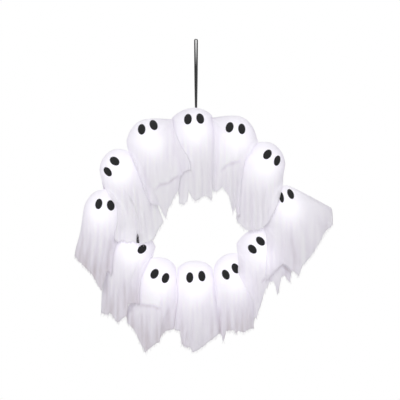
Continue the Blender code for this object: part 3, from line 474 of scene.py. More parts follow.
knob = finished("switch_knob_ridged", knob_points, knob_faces, black_abs, smooth=False)
carved(knob, [], KNOB_EDGE)
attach(knob, "switch")
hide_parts("switch_knob")

# Zinc plate: the bloom in its tone gives the bright metal its dull bluish mottle.
zinc_steel = grained("zinc_plated_steel", 900.0, "#B4B6B8", "#CFCFCC", 0.34, Metallic=1.0)[0]

SCREW_SHANK_RADIUS = 0.0010
SCREW_HEAD_RADIUS = 0.0026
SCREW_HEAD_HEIGHT = 0.0015
SCREW_SIDES = 32
SCREW_EDGE = 0.00008
DOME_STEPS = 8
DOME_RISE = 0.8
DOME_ROUNDING = 0.5
RECESS_HALF = (0.0015, 0.0003)
RECESS_DEPTH = 0.0008
head_foot_y = screw_high.y - SCREW_HEAD_HEIGHT
screw_profile = [(screw_low.y, 0), (screw_low.y, SCREW_SHANK_RADIUS), (head_foot_y, SCREW_SHANK_RADIUS)]
for step in range(DOME_STEPS):
    angle = math.pi / 2 * step / DOME_STEPS
    screw_profile.append((head_foot_y + SCREW_HEAD_HEIGHT * math.sin(angle) ** DOME_RISE,
                          SCREW_HEAD_RADIUS * math.cos(angle) ** DOME_ROUNDING))
screw_profile.append((screw_high.y, 0))
screw = turned("cross_recess_screw", (screw_x, 0, screw_z), screw_profile, SCREW_SIDES, zinc_steel)
recess = [block("recess", (screw_x - across, screw_high.y - RECESS_DEPTH, screw_z - up),
                (screw_x + across, screw_high.y + RECESS_DEPTH, screw_z + up), zinc_steel)
          for across, up in (RECESS_HALF, RECESS_HALF[::-1])]
carved(screw, recess, SCREW_EDGE)
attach(screw, "wreath")
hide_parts("cover_screw")


def dress(node, material):
    """Give a frame node its finished material."""
    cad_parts[node].data.materials.clear()
    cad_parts[node].data.materials.append(material)


# Shrunk PVC: smooth and dark, with the slow clouding that a stretched sleeve has.
cell_sleeve = grained("shrunk_pvc_cell_sleeve", 120.0, "#34383D", "#3D4147", 0.3)[0]
for number in (1, 2, 3):
    dress(f"battery_{number}", cell_sleeve)

# Light string: a twisted pair of tinned wires in clear PVC, led from the battery box round the back of the
# ring, with a lamp on a plug pushed into each tube.
# Clear PVC: the strands' fine streaks show through it, and past the plugs the lamps glow.
LAMP_START_Y = -0.0215
clear_pvc, tree, surface = grained("clear_pvc_insulation", 1500.0, "#C9CCCE", "#DEE0E1", 0.25)
depth = add(tree, "ShaderNodeSeparateXYZ", [("Vector", add(tree, "ShaderNodeTexCoord").outputs["Object"])])
lit = add(tree, "ShaderNodeMath", [(0, depth.outputs["Y"])], operation="LESS_THAN")
lit.inputs[1].default_value = LAMP_START_Y
tree.links.new(surface.inputs["Emission Strength"], lit.outputs[0])
surface.inputs["Emission Color"].default_value = colour("#FFFFFF")

FIRST_HEAD = 7
WIRE_Y = 0.0040
WIRE_ENTRY_REACH = (-0.005, 0.006)
STRAND_RADIUS = 0.00055
TWIST_PITCH = 0.011
WIRE_STEP = 0.0012
STEM_RADIUS = 0.0012
STEM_START_Y = 0.0049
STEM_CHAMFER = 0.0004
PLUG_RADIUS = 0.0040
PLUG_START_Y = -0.0160
LAMP_RADIUS = 0.0025
LAMP_TIP_Y = -0.0340
LAMP_SHOULDER = 0.6
LAMP_TIP_STEPS = 6
LAMP_SIDES = 24
WIRE_SIDES = 8
box_top = cover_high.z
knots = [Vector((WIRE_ENTRY_X[0], WIRE_BAY_Y, box_top + reach)) for reach in WIRE_ENTRY_REACH]
for index in range(len(heads)):
    head_x, head_z = heads[(FIRST_HEAD + index) % len(heads)]
    if index:
        outward = Vector(((knots[-1].x + head_x) / 2 - ring_x, 0, (knots[-1].z + head_z) / 2 - ring_z)).normalized()
        knots.append(Vector((ring_x, WIRE_Y, ring_z)) + outward * RING_MIDDLE_RADIUS)
    knots.append(Vector((head_x, WIRE_Y, head_z)))
knots += [Vector((WIRE_ENTRY_X[1], WIRE_BAY_Y, box_top + reach)) for reach in WIRE_ENTRY_REACH[::-1]]

# The pair: a tree that sweeps two round strands along the smooth route and turns them as they go.
twisting, twist_sockets, given = node_tree("twisted_pair", "Pair", {
    "Path": "Geometry", "Step": "Float", "Turn Per Metre": "Float", "Strand Radius": "Float",
    "Strand Offset": "Vector", "Other Offset": "Vector", "Insulation": "Material"})
route = add(twisting, "GeometryNodeMeshToCurve", [("Mesh", given["Path"])])
smooth_route = add(twisting, "GeometryNodeCurveSplineType", [("Curve", route.outputs[0])], spline_type="CATMULL_ROM")
stepped = add(twisting, "GeometryNodeResampleCurve", [("Curve", smooth_route.outputs[0]), ("Length", given["Step"])],
              mode="LENGTH")
run = add(twisting, "GeometryNodeSplineParameter")
turn = add(twisting, "ShaderNodeMath", [(0, run.outputs["Length"]), (1, given["Turn Per Metre"])], operation="MULTIPLY")
tilted = add(twisting, "GeometryNodeSetCurveTilt", [("Curve", stepped.outputs[0]), ("Tilt", turn.outputs[0])])
round_wire = add(twisting, "GeometryNodeCurvePrimitiveCircle", [("Radius", given["Strand Radius"])],
                 Resolution=WIRE_SIDES)
two = [add(twisting, "GeometryNodeTransform", [("Geometry", round_wire.outputs[0]), ("Translation", given[socket])])
       for socket in ("Strand Offset", "Other Offset")]
both = add(twisting, "GeometryNodeJoinGeometry")
for one in two:
    twisting.links.new(both.inputs[0], one.outputs[0])
swept = add(twisting, "GeometryNodeCurveToMesh", [("Curve", tilted.outputs[0]), ("Profile Curve", both.outputs[0])])
swept.inputs["Fill Caps"].default_value = True
softened = add(twisting, "GeometryNodeSetShadeSmooth", [("Geometry", swept.outputs[0])])
clad = add(twisting, "GeometryNodeSetMaterial", [("Geometry", softened.outputs[0]), ("Material", given["Insulation"])])
add(twisting, "NodeGroupOutput", [("Pair", clad.outputs[0])])

wire = finished("light_wire_pair", knots, [], clear_pvc, edges=[(at, at + 1) for at in range(len(knots) - 1)])
made_by(wire, twisting, twist_sockets, {
    "Step": WIRE_STEP, "Turn Per Metre": 2 * math.pi / TWIST_PITCH, "Strand Radius": STRAND_RADIUS,
    "Strand Offset": (STRAND_RADIUS, 0.0, 0.0), "Other Offset": (-STRAND_RADIUS, 0.0, 0.0), "Insulation": clear_pvc})
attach(wire, "wreath")
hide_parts("light_string")
lamp_profile = [(STEM_START_Y, 0), (STEM_START_Y - STEM_CHAMFER, STEM_RADIUS), (PLUG_START_Y, STEM_RADIUS),
                (PLUG_START_Y, PLUG_RADIUS), (LAMP_START_Y, PLUG_RADIUS), (LAMP_START_Y, LAMP_RADIUS)]
for step in range(LAMP_TIP_STEPS):
    angle = math.pi / 2 * step / LAMP_TIP_STEPS
    along = LAMP_SHOULDER + (1 - LAMP_SHOULDER) * math.sin(angle)
    lamp_profile.append((LAMP_START_Y + (LAMP_TIP_Y - LAMP_START_Y) * along, LAMP_RADIUS * math.cos(angle)))
lamp_profile.append((LAMP_TIP_Y, 0))
for number, (head_x, head_z) in enumerate(heads, start=1):
    lamp = turned(f"string_lamp_{number:02d}", (head_x, 0, head_z), lamp_profile, LAMP_SIDES, clear_pvc)
    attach(lamp, "wreath")

# Hanging ribbon: black satin ribbon 4 mm wide, threaded through the lug's slot and joined into a loop. It
# turns from face-on at the lug to nearly edge-on at the top, where its two runs stand apart.
RIBBON_HALF_WIDTH = 0.0020
RIBBON_HALF_THICKNESS = 0.0003
RIBBON_HALF_SPREAD = 0.0030
RIBBON_TWIST = math.radians(55)
RIBBON_BOTTOM_DROP = 0.00075
RIBBON_RISE_STEPS = 60
RIBBON_BEND_STEPS = 12
RIBBON_ACROSS = 6
RIBBON_MIDDLE = 0.75
RIB_PITCH = 0.0006
WAVE_SCALE = 0.314

# Satin: ribs across the ribbon catch thin lines of light on black.
black_satin, tree, output = new_material("black_polyester_satin")
here = add(tree, "ShaderNodeTexCoord").outputs["Object"]
ribs = add(tree, "ShaderNodeTexWave", [("Vector", here)], bands_direction="Z", Scale=WAVE_SCALE / RIB_PITCH)
tone = toned(tree, ribs.outputs["Fac"], "#101011", "#1C1C1E")
relief = add(tree, "ShaderNodeBump", [("Height", ribs.outputs["Fac"])], Strength=0.3, Distance=0.0001)
surface = add(tree, "ShaderNodeBsdfPrincipled", [("Base Color", tone), ("Normal", relief.outputs[0])], Roughness=0.5)
tree.links.new(output.inputs["Surface"], surface.outputs[0])

ribbon_low, ribbon_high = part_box("hanging_ribbon")
upper_z = ribbon_high.z - RIBBON_HALF_THICKNESS - RIBBON_HALF_SPREAD
lower_z = ribbon_low.z + RIBBON_HALF_THICKNESS + RIBBON_BOTTOM_DROP
ribbon_rings = []


def ribbon_ring(centre, normal, twist):
    """One cross-section: an outline with slightly thicker woven edges."""
    across = Vector((math.cos(twist), math.sin(twist), 0))
    front = []
    back = []
    for step in range(RIBBON_ACROSS + 1):
        over = 2 * step / RIBBON_ACROSS - 1
        thick = RIBBON_HALF_THICKNESS * (RIBBON_MIDDLE + (1 - RIBBON_MIDDLE) * over ** 4)
        front.append(centre + across * over * RIBBON_HALF_WIDTH - normal * thick)
        back.append(centre + across * over * RIBBON_HALF_WIDTH + normal * thick)
    ribbon_rings.append(front + back[::-1])


for half_turn in (1, -1):
    for step in range(RIBBON_RISE_STEPS + 1):
        share = step / RIBBON_RISE_STEPS if half_turn == 1 else 1 - step / RIBBON_RISE_STEPS
        turn = RIBBON_TWIST * share
        apart = Vector((math.sin(turn), -math.cos(turn), 0)) * half_turn
        centre = apart * RIBBON_HALF_SPREAD + Vector((0, 0, lower_z + (upper_z - lower_z) * share))
        ribbon_ring(centre, apart, turn)
    turn = RIBBON_TWIST if half_turn == 1 else 0.0
    bend_z, bend_height = (upper_z, RIBBON_HALF_SPREAD) if half_turn == 1 else (lower_z, -RIBBON_BOTTOM_DROP)
    outward = Vector((math.sin(turn), -math.cos(turn), 0)) * half_turn
    for step in range(1, RIBBON_BEND_STEPS):
        angle = math.pi * step / RIBBON_BEND_STEPS
        centre = outward * math.cos(angle) * RIBBON_HALF_SPREAD
        centre.z = bend_z + bend_height * math.sin(angle)
        normal = outward * math.cos(angle) * abs(bend_height)
        normal.z = half_turn * math.sin(angle) * RIBBON_HALF_SPREAD
        ribbon_ring(centre, normal.normalized(), turn)
ring_size = len(ribbon_rings[0])
ribbon_faces = []
for row in range(len(ribbon_rings)):
    here_at = row * ring_size
    there_at = (row + 1) % len(ribbon_rings) * ring_size
    for side in range(ring_size):
        after = (side + 1) % ring_size
        ribbon_faces.append((here_at + side, here_at + after, there_at + after, there_at + side))
ribbon = finished("ribbon_loop", [point for ring in ribbon_rings for point in ring], ribbon_faces, black_satin)
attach(ribbon, "wreath")
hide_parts("hanging_ribbon")

# Balls: blown frosted polystyrene, open behind where the tube enters, lit from inside so that they glow.
BALL_WALL = 0.0012
BALL_HOLE_RADIUS = 0.0077
BALL_SIDES = 48
BALL_ARC_STEPS = 24
BALL_GLOW = 0.45

# Frosted polystyrene: faintly clouded and lit from inside, so it shows white where the cloth leaves it bare.
frosted_plastic, tree, surface = grained("frosted_polystyrene_lit", 400.0, "#F1F1F4", "#F8F8FA", 0.5, detail=3.0)
surface.inputs["Emission Color"].default_value = colour("#FBFBFF")
surface.inputs["Emission Strength"].default_value = BALL_GLOW

ball_profile = []
for radius in (BALL_RADIUS, BALL_RADIUS - BALL_WALL):
    end = math.pi - math.asin(BALL_HOLE_RADIUS / radius)
    arc = [(-radius * math.cos(end * step / BALL_ARC_STEPS), radius * math.sin(end * step / BALL_ARC_STEPS))
           for step in range(BALL_ARC_STEPS + 1)]
    ball_profile += arc if radius == BALL_RADIUS else arc[::-1]


# Ghost cloths: each is a piece of thin white polyester gauze with torn edges, laid over its ball and tacked
# there, so it hangs in soft folds. Two felt ovals are glued to it as eyes.

# Outlines are photo pixels. A higher layer lies in front. Rims are where the cloth leaves the ball, sides and hem
# run as in the photo, glow is where the lamp shines through, sag lowers the cap's sides, folds are (x, y, x, y,
# half width, height in mm) with valleys below zero, and a tuck is the hem of a second thickness. Grey is how much
# greyer the hem is painted than the cap, partly for thinner gauze and partly as painted shade, and halo is how much
# the lamp lights the whole head. Eyes are (x, y, lean in degrees, half width).
GHOSTS = [
    dict(layer=5, grey=0.12, halo=0.02, rims=((171.8, 118), (212.5, 118)), glow=(196, 137),
         sag=(0, 1), left=[(173, 135), (176, 150)], right=[(215, 135), (216, 150)],
         hem=[(178, 185), (179.5, 203), (184, 204.5), (187.5, 200), (188.5, 189), (192, 197), (195, 201),
              (199, 199.5), (202, 196.5), (206, 195.5), (211.5, 200), (212.5, 188), (214.5, 187)],
         folds=[(193, 168, 192, 192, 1.6, -1.6), (202, 162, 203, 192, 1.8, -1.8), (208, 158, 208, 192, 1.5, -1.5),
                (185, 165, 184, 186, 1.8, -1.5), (198, 172, 198, 192, 1.5, 1.4)],
         eyes=[(188.0, 119.4, 8, 3.8), (200.1, 118.8, -17, 3.7)]),
    dict(layer=6, grey=0.14, halo=0.02, rims=((211, 117.3), (256.8, 138)), glow=(237, 145),
         sag=(-0.5, 0),
         left=[(213.5, 135), (213, 155), (212.5, 175)], right=[(258, 142.5), (251, 152), (244, 165), (240, 200)],
         hem=[(213, 191), (217, 191.5), (222, 187), (226, 191), (229.5, 197), (231, 204), (233, 213),
              (235.5, 206), (237.5, 216.5), (240, 214)],
         folds=[(226, 170, 227, 190, 1.5, -2.2), (233, 166, 234, 205, 1.5, -2.4), (238, 168, 238, 210, 1.3, -1.6),
                (218, 130, 216, 172, 2.2, -1.6), (222, 128, 221, 165, 2.0, 1.0)],
         tuck=[(221, 170), (226, 165.5), (231, 163), (239, 160.5)],
         eyes=[(229.6, 127.5, 17, 3.8), (241.6, 129.1, -6, 3.5)]),
    dict(layer=4, grey=0.12, halo=0.03, rims=((249, 149), (285.5, 164)), glow=(266, 171),
         left=[(244, 162), (240.5, 178), (238, 200)], right=[(283.5, 176), (283, 184), (281, 192)],
         hem=[(236.5, 216), (238, 222), (242, 226), (246, 229.5), (252, 231), (255, 229), (258, 230.5),
              (261, 228), (265, 226), (269, 221), (273, 213), (279, 200)],
         folds=[(251, 186, 252, 228, 1.8, -2.2), (258, 190, 258, 218, 1.8, -2.0), (245, 188, 245, 222, 1.6, -1.8),
                (266, 188, 264, 220, 1.6, -1.8), (255, 192, 255, 222, 1.5, 1.4)],
         eyes=[(267.3, 154.6, 35, 3.7), (276.9, 160.7, 16, 3.0)]),
    dict(layer=3, grey=0.30, halo=0.02, rims=((268.5, 206), (331, 207.5)), glow=(291, 214),
         sag=(0, 2.5),
         left=[(264, 216), (263.5, 228), (266, 236), (266.5, 250)], right=[(332.2, 210), (333, 217)],
         hem=[(265, 281), (270, 277), (274, 272.5), (278, 268), (283, 263.5), (287, 265.5), (291, 270.5),
              (294, 271), (298.5, 275.5), (302, 266), (310, 257), (318, 245), (325, 232), (333, 224)],
         folds=[(290, 232, 296, 260, 3.5, -3.0), (282, 226, 284, 258, 2.2, -1.8), (304, 222, 310, 252, 3.5, -1.8),
                (300, 226, 304, 256, 2.5, 1.6), (312, 204, 326, 228, 3.5, -1.5), (300, 195, 322, 214, 3.0, 1.2)],
         eyes=[(281.6, 197.5, -8, 2.2), (290.5, 194.2, -24, 2.9)]),
    dict(layer=2, grey=0.34, halo=0.04, rims=((236.5, 244), (280, 248)), glow=(266, 256),
         left=[(238.3, 262), (238.5, 274), (247, 290), (253, 303)], right=[(282, 252), (287, 262)],
         hem=[(254, 318.5), (256.5, 317), (258, 312), (262, 300), (264, 292), (268, 284.5), (270, 281),
              (274, 281), (277.8, 294), (281, 277), (284, 275), (290, 282.5), (291.5, 270)],
         folds=[(256, 272, 258, 300, 1.8, -2.2), (261, 274, 261, 296, 1.5, 1.4), (250, 262, 254, 292, 1.5, -1.6)],
         tuck=[(262, 281), (268, 275), (276, 269.5), (282, 264), (290, 271)],
         eyes=[(252.4, 249.1, -42, 3.5), (260.4, 241.2, -45, 3.5)]),
    dict(layer=1, grey=0.50, halo=0.07, rims=((213.7, 270), (252, 273)), glow=(236, 286),
         left=[(214, 290), (217, 310)], right=[(256, 290), (255, 305)],
         hem=[(219, 330), (222, 336), (223.5, 341), (226, 331), (230, 330), (234, 330), (236, 333.5),
              (238, 330.5), (244, 332), (249, 329), (253.5, 328), (254, 317)],
         folds=[(220, 306, 220, 330, 1.6, -2.0), (228, 306, 229, 328, 1.8, -2.2), (236, 308, 237, 326, 1.6, -1.6),
                (242, 302, 242, 328, 1.6, -2.0), (247, 308, 246, 326, 1.5, -1.8), (232, 306, 233, 324, 1.5, 1.3)],
         eyes=[(225.9, 274.6, -25, 3.5), (235.4, 268.4, -26, 3.5)]),
    dict(layer=0, grey=0.44, halo=0.08, rims=((177.5, 270), (212.8, 272)), glow=(197, 292),
         left=[(176, 300)], right=[(218, 310)],
         hem=[(175, 329.5), (180.5, 331), (181.5, 343.5), (184, 346), (187, 347.5), (190, 346.5),
              (192.5, 352), (196, 351), (205, 344.5), (215, 337), (221, 332), (222, 322)],
         folds=[(184, 310, 183, 328, 1.8, -2.0), (187, 332, 186, 345, 1.5, -1.8), (203, 304, 204, 324, 2.0, -2.2),
                (193, 312, 192, 340, 1.8, -1.6), (212, 308, 213, 330, 1.8, -1.6), (198, 318, 199, 340, 2.0, 1.4)],
         eyes=[(189.9, 277.5, 2, 3.5), (201.7, 276.1, -7, 3.5)]),
    dict(layer=1, grey=0.54, halo=0.07, rims=((139.5, 277), (176, 270)), glow=(160, 290),
         left=[(139, 290), (137, 300), (128, 306)], right=[(178, 295), (176, 312)],
         hem=[(126.5, 315), (127.5, 323), (130, 324.5), (135, 331), (141, 344), (145.5, 352), (150, 348),
              (155, 344), (159.5, 341.5), (160.5, 337), (163, 333), (167, 330.5), (174.5, 328.5)],
         folds=[(142, 314, 142, 336, 1.6, -1.8), (147, 308, 147, 346, 1.8, -2.4), (152, 314, 152, 340, 1.6, 1.4),
                (157, 308, 157, 336, 1.8, -1.8), (133, 308, 133, 326, 1.5, -1.5), (168, 306, 168, 326, 2.0, -1.5)],
         tuck=[(141, 304), (147, 305), (153, 305.5), (160, 308)],
         eyes=[(154.7, 273.8, 30, 3.7), (165.4, 278.0, 19, 3.5)]),
    dict(layer=2, grey=0.52, halo=0.04, rims=((113.5, 250), (155.5, 247)), glow=(134, 256),
         left=[(106, 270), (102, 290)], right=[(149, 262), (142, 277), (140, 290)],
         hem=[(101, 312.5), (107, 315), (110, 312.5), (112, 315), (115, 319.5), (118, 322.5), (122, 318.5),
              (126.5, 315.5), (128.5, 304), (132, 303), (136, 303.5), (140, 304)],
         folds=[(114, 276, 112, 308, 1.6, -2.2), (119, 284, 118, 312, 1.6, -2.2), (125, 282, 125, 306, 1.8, -2.4),
                (108, 282, 106, 308, 1.6, -1.8), (131, 284, 132, 300, 1.5, -1.4), (116, 290, 116, 314, 1.3, 1.5)],
         eyes=[(139.2, 238.2, 20, 3.5), (141.9, 249.1, 43, 3.6)]),
    dict(layer=3, grey=0.56, halo=0.03, rims=((83.3, 210), (123, 209)), glow=(99, 220),
         left=[(80, 232), (76, 247)], right=[(131, 218), (123, 232), (115, 248)],
         hem=[(74.5, 255), (78, 260.5), (83, 265), (90, 272), (95, 279), (98, 285), (101.5, 290),
              (104.5, 280), (107, 272), (109, 271), (111, 276), (112.5, 270)],
         folds=[(91, 234, 86, 264, 2.0, -2.4), (98, 234, 95, 272, 2.0, -2.4), (105, 238, 101, 270, 1.8, -2.0),
                (84, 232, 79, 258, 1.6, -1.8), (110, 236, 108, 264, 1.8, -1.8),
                (94, 240, 90, 268, 1.5, 1.5), (101, 240, 98, 272, 1.5, 1.4)],
         eyes=[(99.0, 204.0, 12, 3.4), (110.7, 205.5, -12, 3.7)]),
    dict(layer=4, grey=0.00, halo=0.04, rims=((99.3, 170), (137, 167)), glow=(121, 174),
         left=[(102, 182), (108.5, 194.5), (112, 200.5), (117, 208.5), (117, 222)], right=[(145, 185), (157, 205)],
         hem=[(114, 239), (118, 242), (122, 240), (127, 242.5), (132, 241), (136.3, 242.5), (137.2, 232),
              (138.8, 237), (139.6, 244), (146, 243), (150, 241), (153, 239.5), (156, 234), (158.5, 229),
              (163.5, 221)],
         folds=[(124, 188, 128, 212, 1.8, -2.2), (131, 186, 136, 224, 1.8, -2.4), (137, 190, 141, 230, 1.6, -2.0),
                (143, 192, 147, 234, 1.6, -1.8), (134, 190, 139, 226, 1.3, 1.4), (150, 200, 153, 228, 1.6, -1.4)],
         eyes=[(108.0, 171.7, -37, 3.2), (114.8, 161.3, -53, 3.9)]),
    dict(layer=6, grey=0.20, halo=0.02, rims=((126.3, 141), (173, 118.6)), glow=(154, 147),
         sag=(0, -1),
         left=[(128, 150), (134, 163), (140, 177), (145, 192)],
         right=[(174, 126), (177, 136), (181.5, 146), (187.5, 156), (190.5, 163)],
         hem=[(150, 203), (157, 205), (160, 206.5), (163, 213), (166, 218), (168, 208), (171, 205),
              (172.5, 200), (175, 195.5), (178, 191), (180, 177), (184, 171), (191, 169.5)],
         folds=[(145, 166, 148, 198, 1.8, -2.0), (156, 162, 158, 182, 1.8, -1.8), (151, 166, 153, 196, 1.6, 1.3),
                (167, 150, 171, 176, 2.0, -1.5), (175, 150, 181, 170, 1.8, -1.4)],
         tuck=[(155, 189), (160, 184), (168, 182.5), (173, 178.5), (178, 175.5)],
         eyes=[(141.8, 129.5, 2, 3.7), (153.6, 125.3, -25, 3.8)]),
]
for ghost, head in zip(GHOSTS, HEADS_PX):
    ghost["head"] = head
COVER_RADIUS = 0.0366
COVER_HEIGHT = 0.0396
CLOTH_THICKNESS = 0.0004
LAYER_CLEARANCE = 0.0013
FOLD_ROOM = 0.0012
CAP_ROWS = 14
FRONT_ROWS = 46
BACK_ROWS = 22
BACK_COLUMNS = 36
COLUMNS_BETWEEN = 7
HEM_FRONT_DEPTH = 0.030
HEM_SIDE_DEPTH = 0.008
HEM_ROUNDING = 0.4
PLEAT_DEPTH = 0.0022
PLEAT_SHARE = 0.2
WRINKLE_DEPTH = 0.0009
TEAR_DEPTH = 0.0014
TUCK_DEPTH = 0.0036
# Painted shadow just under a tuck's edge.
TUCK_SHADOW = 0.35
# Painted shade on the cap's left and right sides, where the cloth turns edge-on.
SIDE_EDGE_SHADE = 0.30
BACK_LENGTH = 0.060
BACK_HALF_WIDTH = 0.027
BACK_HEM_Y = -0.0072
HEAD_CLEARANCE = 0.003
BACK_FOLD_DEPTH = 0.0032
BACK_TEAR = 0.0035
TUBE_HOLE_RADIUS = 0.0081
THREAD_PITCH = 0.0011
LAMP_REACH = 0.0255
HALO_REACH = 0.060
LAMP_STRENGTH = 0.155
SPREAD_GLOW = 0.155
THROUGH_TWO_CLOTHS = 0.8
FOLD_GAIN = 1.1
PUSH_PASSES = 14
PUSH_KEPT = 0.985
WRINKLE_SIZE = (0.011, 0.050)
FINE_WRINKLE_SIZE = (0.005, 0.018)
STREAK_SIZE = (0.006, 0.075)
STREAK_GREY = 0.20
CAP_GREY = 0.08
# Painted shade in fold valleys and painted light on fold ridges, per metre of fold height.
VALLEY_SHADE = 70
RIDGE_SHADE = 45
TUCK_END_FADE = 4
TUCK_RISE = 1.2
TUCK_REACH = 16
BACK_EASE = BACK_COLUMNS // 5
BACK_SWAY = 0.0030
# Painted shade in the back panel's fold hollows.
BACK_FOLD_SHADE = 0.30
CURVE_STEPS = 12
RAY_START_Y = -1.0
COVER_MARGIN = 0.001

# Gauze: white to lilac to pinkish grey by a faint random blotch and by a tone set on the cloth. That tone is painted
# shade in fold valleys, under tucks and on the cap's sides, painted light on ridges, and greyer towards the hem partly
# for thinner gauze and partly as painted shade. It has woven threads, soft light through it and the lamps' glow. Its
# threads are drawn coarser than real gauze, so that they show at all.
gauze, tree, output = new_material("white_polyester_gauze")
flat_uv = add(tree, "ShaderNodeUVMap", uv_map="cloth")
here = add(tree, "ShaderNodeTexCoord").outputs["Object"]
blotch = add(tree, "ShaderNodeTexNoise", [("Vector", here)], Scale=22.0, Detail=3.0)
# The cloth's own tone with painted shade in it: darker in fold valleys, under tucks, on the cap's sides and towards the
# hem.
tone_and_shade = add(tree, "ShaderNodeAttribute", attribute_name="cloth_tone_and_shade")
uneven = add(tree, "ShaderNodeMath", [(0, blotch.outputs["Fac"]), (2, tone_and_shade.outputs["Fac"])],
             operation="MULTIPLY_ADD", use_clamp=True)
uneven.inputs[1].default_value = 0.16
tone = add(tree, "ShaderNodeValToRGB", [("Fac", uneven.outputs[0])])
tone.color_ramp.elements[0].color = colour("#EDEBF0")
tone.color_ramp.elements[1].color = colour("#B8AFB3")
tone.color_ramp.elements.new(0.5).color = colour("#DBD6E1")
warp = add(tree, "ShaderNodeTexWave", [("Vector", flat_uv.outputs[0])], bands_direction="X",
           Scale=WAVE_SCALE / THREAD_PITCH, Distortion=0.6)
weft = add(tree, "ShaderNodeTexWave", [("Vector", flat_uv.outputs[0])], bands_direction="Y",
           Scale=WAVE_SCALE / THREAD_PITCH, Distortion=0.6)
weave = add(tree, "ShaderNodeMath", [(0, warp.outputs["Fac"]), (1, weft.outputs["Fac"])], operation="ADD")
relief = add(tree, "ShaderNodeBump", [("Height", weave.outputs[0])], Strength=0.22, Distance=0.0002)
lamp = add(tree, "ShaderNodeAttribute", attribute_name="lamp_glow")
surface = add(tree, "ShaderNodeBsdfPrincipled",
              [("Base Color", tone.outputs["Color"]), ("Normal", relief.outputs[0]),
               ("Emission Color", tone.outputs["Color"]), ("Emission Strength", lamp.outputs["Fac"])], Roughness=0.9)
surface.inputs["Sheen Weight"].default_value = 0.1
surface.inputs["Subsurface Weight"].default_value = 0.85
surface.inputs["Subsurface Radius"].default_value = (1.0, 1.0, 1.0)
surface.inputs["Subsurface Scale"].default_value = 0.002
tree.links.new(output.inputs["Surface"], surface.outputs[0])

covers = []


def add_cover(vertices, faces):
    """Cloths and eyes made later lie in front of this surface."""
    points = np.array([tuple(vertex) for vertex in vertices])
    covers.append((BVHTree.FromPolygons([tuple(point) for point in points], faces),
                   points.min(0) - COVER_MARGIN, points.max(0) + COVER_MARGIN))


def first_hit(x, z):
    """Place and facing of the foremost surface made so far at x and z, or two times None."""
    best = (None, None)
    for tree_of_cover, low, high in covers:
        if low[0] < x < high[0] and low[2] < z < high[2]:
            spot, facing = tree_of_cover.ray_cast(Vector((x, RAY_START_Y, z)), Vector((0, 1, 0)))[:2]
            if spot and (best[0] is None or spot.y < best[0].y):
                best = (spot, facing)
    return best


def along_line(points, shares):
    """Points at shares of the length of a smooth curve through a few points."""
    knots = np.array([points[0]] + list(points) + [points[-1]], float)
    dense = []
    for index in range(1, len(knots) - 2):
        before, first, second, after = knots[index - 1:index + 3]
        for step in range(CURVE_STEPS):
            t = step / CURVE_STEPS
            dense.append(0.5 * (2 * first + (second - before) * t
                                + (2 * before - 5 * first + 4 * second - after) * t ** 2
                                + (3 * first - before - 3 * second + after) * t ** 3))
    dense.append(knots[-1])
    dense = np.array(dense)
    run = np.concatenate([[0], np.cumsum(np.linalg.norm(np.diff(dense, axis=0), axis=1))])
    at = np.asarray(shares) * run[-1]
    return np.stack([np.interp(at, run, dense[:, axis]) for axis in (0, 1)], axis=-1)


def cap_points(ghost, angles, lean):
    """Points of the cap: angles go from the front round to the right, lean goes from the top down."""
    head_x, head_z = place(ghost["head"])
    sine, cosine = np.sin(angles), np.cos(angles)
    rims = np.array([place(rim) for rim in ghost["rims"]])
    rim = np.where(sine[:, None] > 0, rims[1], rims[0])
    pull = sine ** 2 * (lean / (math.pi / 2)) ** 2
    x = COVER_RADIUS * sine * math.sin(lean) + (rim[:, 0] - head_x - np.sign(sine) * COVER_RADIUS) * pull
    y = -COVER_RADIUS * cosine * math.sin(lean)
    z = COVER_HEIGHT * math.cos(lean) + (rim[:, 1] - head_z) * pull
    z -= np.where(sine > 0, *ghost.get("sag", (0, 0))[::-1]) * PIXEL * sine ** 2 * math.sin(2 * lean)
    return np.stack([head_x + x, head_y + y, head_z + z], axis=-1)


def tuck_at(ghost, x, z):
    """How many pixels x and z lie above the tuck's edge, and how much of the tuck there is."""
    if "tuck" not in ghost:
        return np.zeros_like(x), np.zeros_like(x)
    across = x / PIXEL + LOOP_TOP_PX[0]
    line = np.array(ghost["tuck"])
    above = np.interp(across, line[:, 0], line[:, 1]) - (LOOP_TOP_PX[1] - z / PIXEL)
    ends = [np.clip(past / TUCK_END_FADE + 0.5, 0, 1) for past in (across - line[0, 0], line[-1, 0] - across)]
    return above, ends[0] * ends[1]


def fold_heights(ghost, x, z):
    """How far the folds stand out towards the viewer at x and z."""
    across = x / PIXEL + LOOP_TOP_PX[0]
    down = LOOP_TOP_PX[1] - z / PIXEL
    height = np.zeros_like(x)
    for x0, y0, x1, y1, half_width, rise in ghost["folds"]:
        run = np.array([x1 - x0, y1 - y0])
        share = ((across - x0) * run[0] + (down - y0) * run[1]) / (run @ run)
        near = np.clip(share, 0, 1)
        away = np.hypot(across - x0 - near * run[0], (down - y0 - near * run[1]) * 0.35)
        fade = np.clip((share + 0.25) / 0.5, 0, 1)
        height += rise * 0.001 * FOLD_GAIN * np.exp(-(away / half_width) ** 2) * fade
    above, ends = tuck_at(ghost, x, z)
    return height + TUCK_DEPTH * ends * (np.clip(above / TUCK_RISE, 0, 1)
                                         * np.exp(-(np.maximum(above, 0) / TUCK_REACH) ** 2))


def neighbours(field):
    """The field nine times: each value's own place and its eight neighbours."""
    wide = np.pad(field, 1, mode="edge")
    height, width = field.shape
    return [wide[r:r + height, c:c + width] for r in range(3) for c in range(3)]


def speck(x, z, size, seed):
    """Smooth noise at x and z, in grains of a width and a height."""
    return noise.noise(Vector((x / size[0], seed, z / size[1])))


def pushed_needed(rows, room):
    """How far each point of the cloth must come forward to clear what lies behind it."""
    needed = np.full(rows.shape[:2], -1.0)
    for r in range(1, rows.shape[0]):
        for c in range(rows.shape[1]):
            spot = first_hit(rows[r, c, 0], rows[r, c, 2])[0]
            if spot:
                needed[r, c] = rows[r, c, 1] - (spot.y - CLOTH_THICKNESS - room)
    return needed


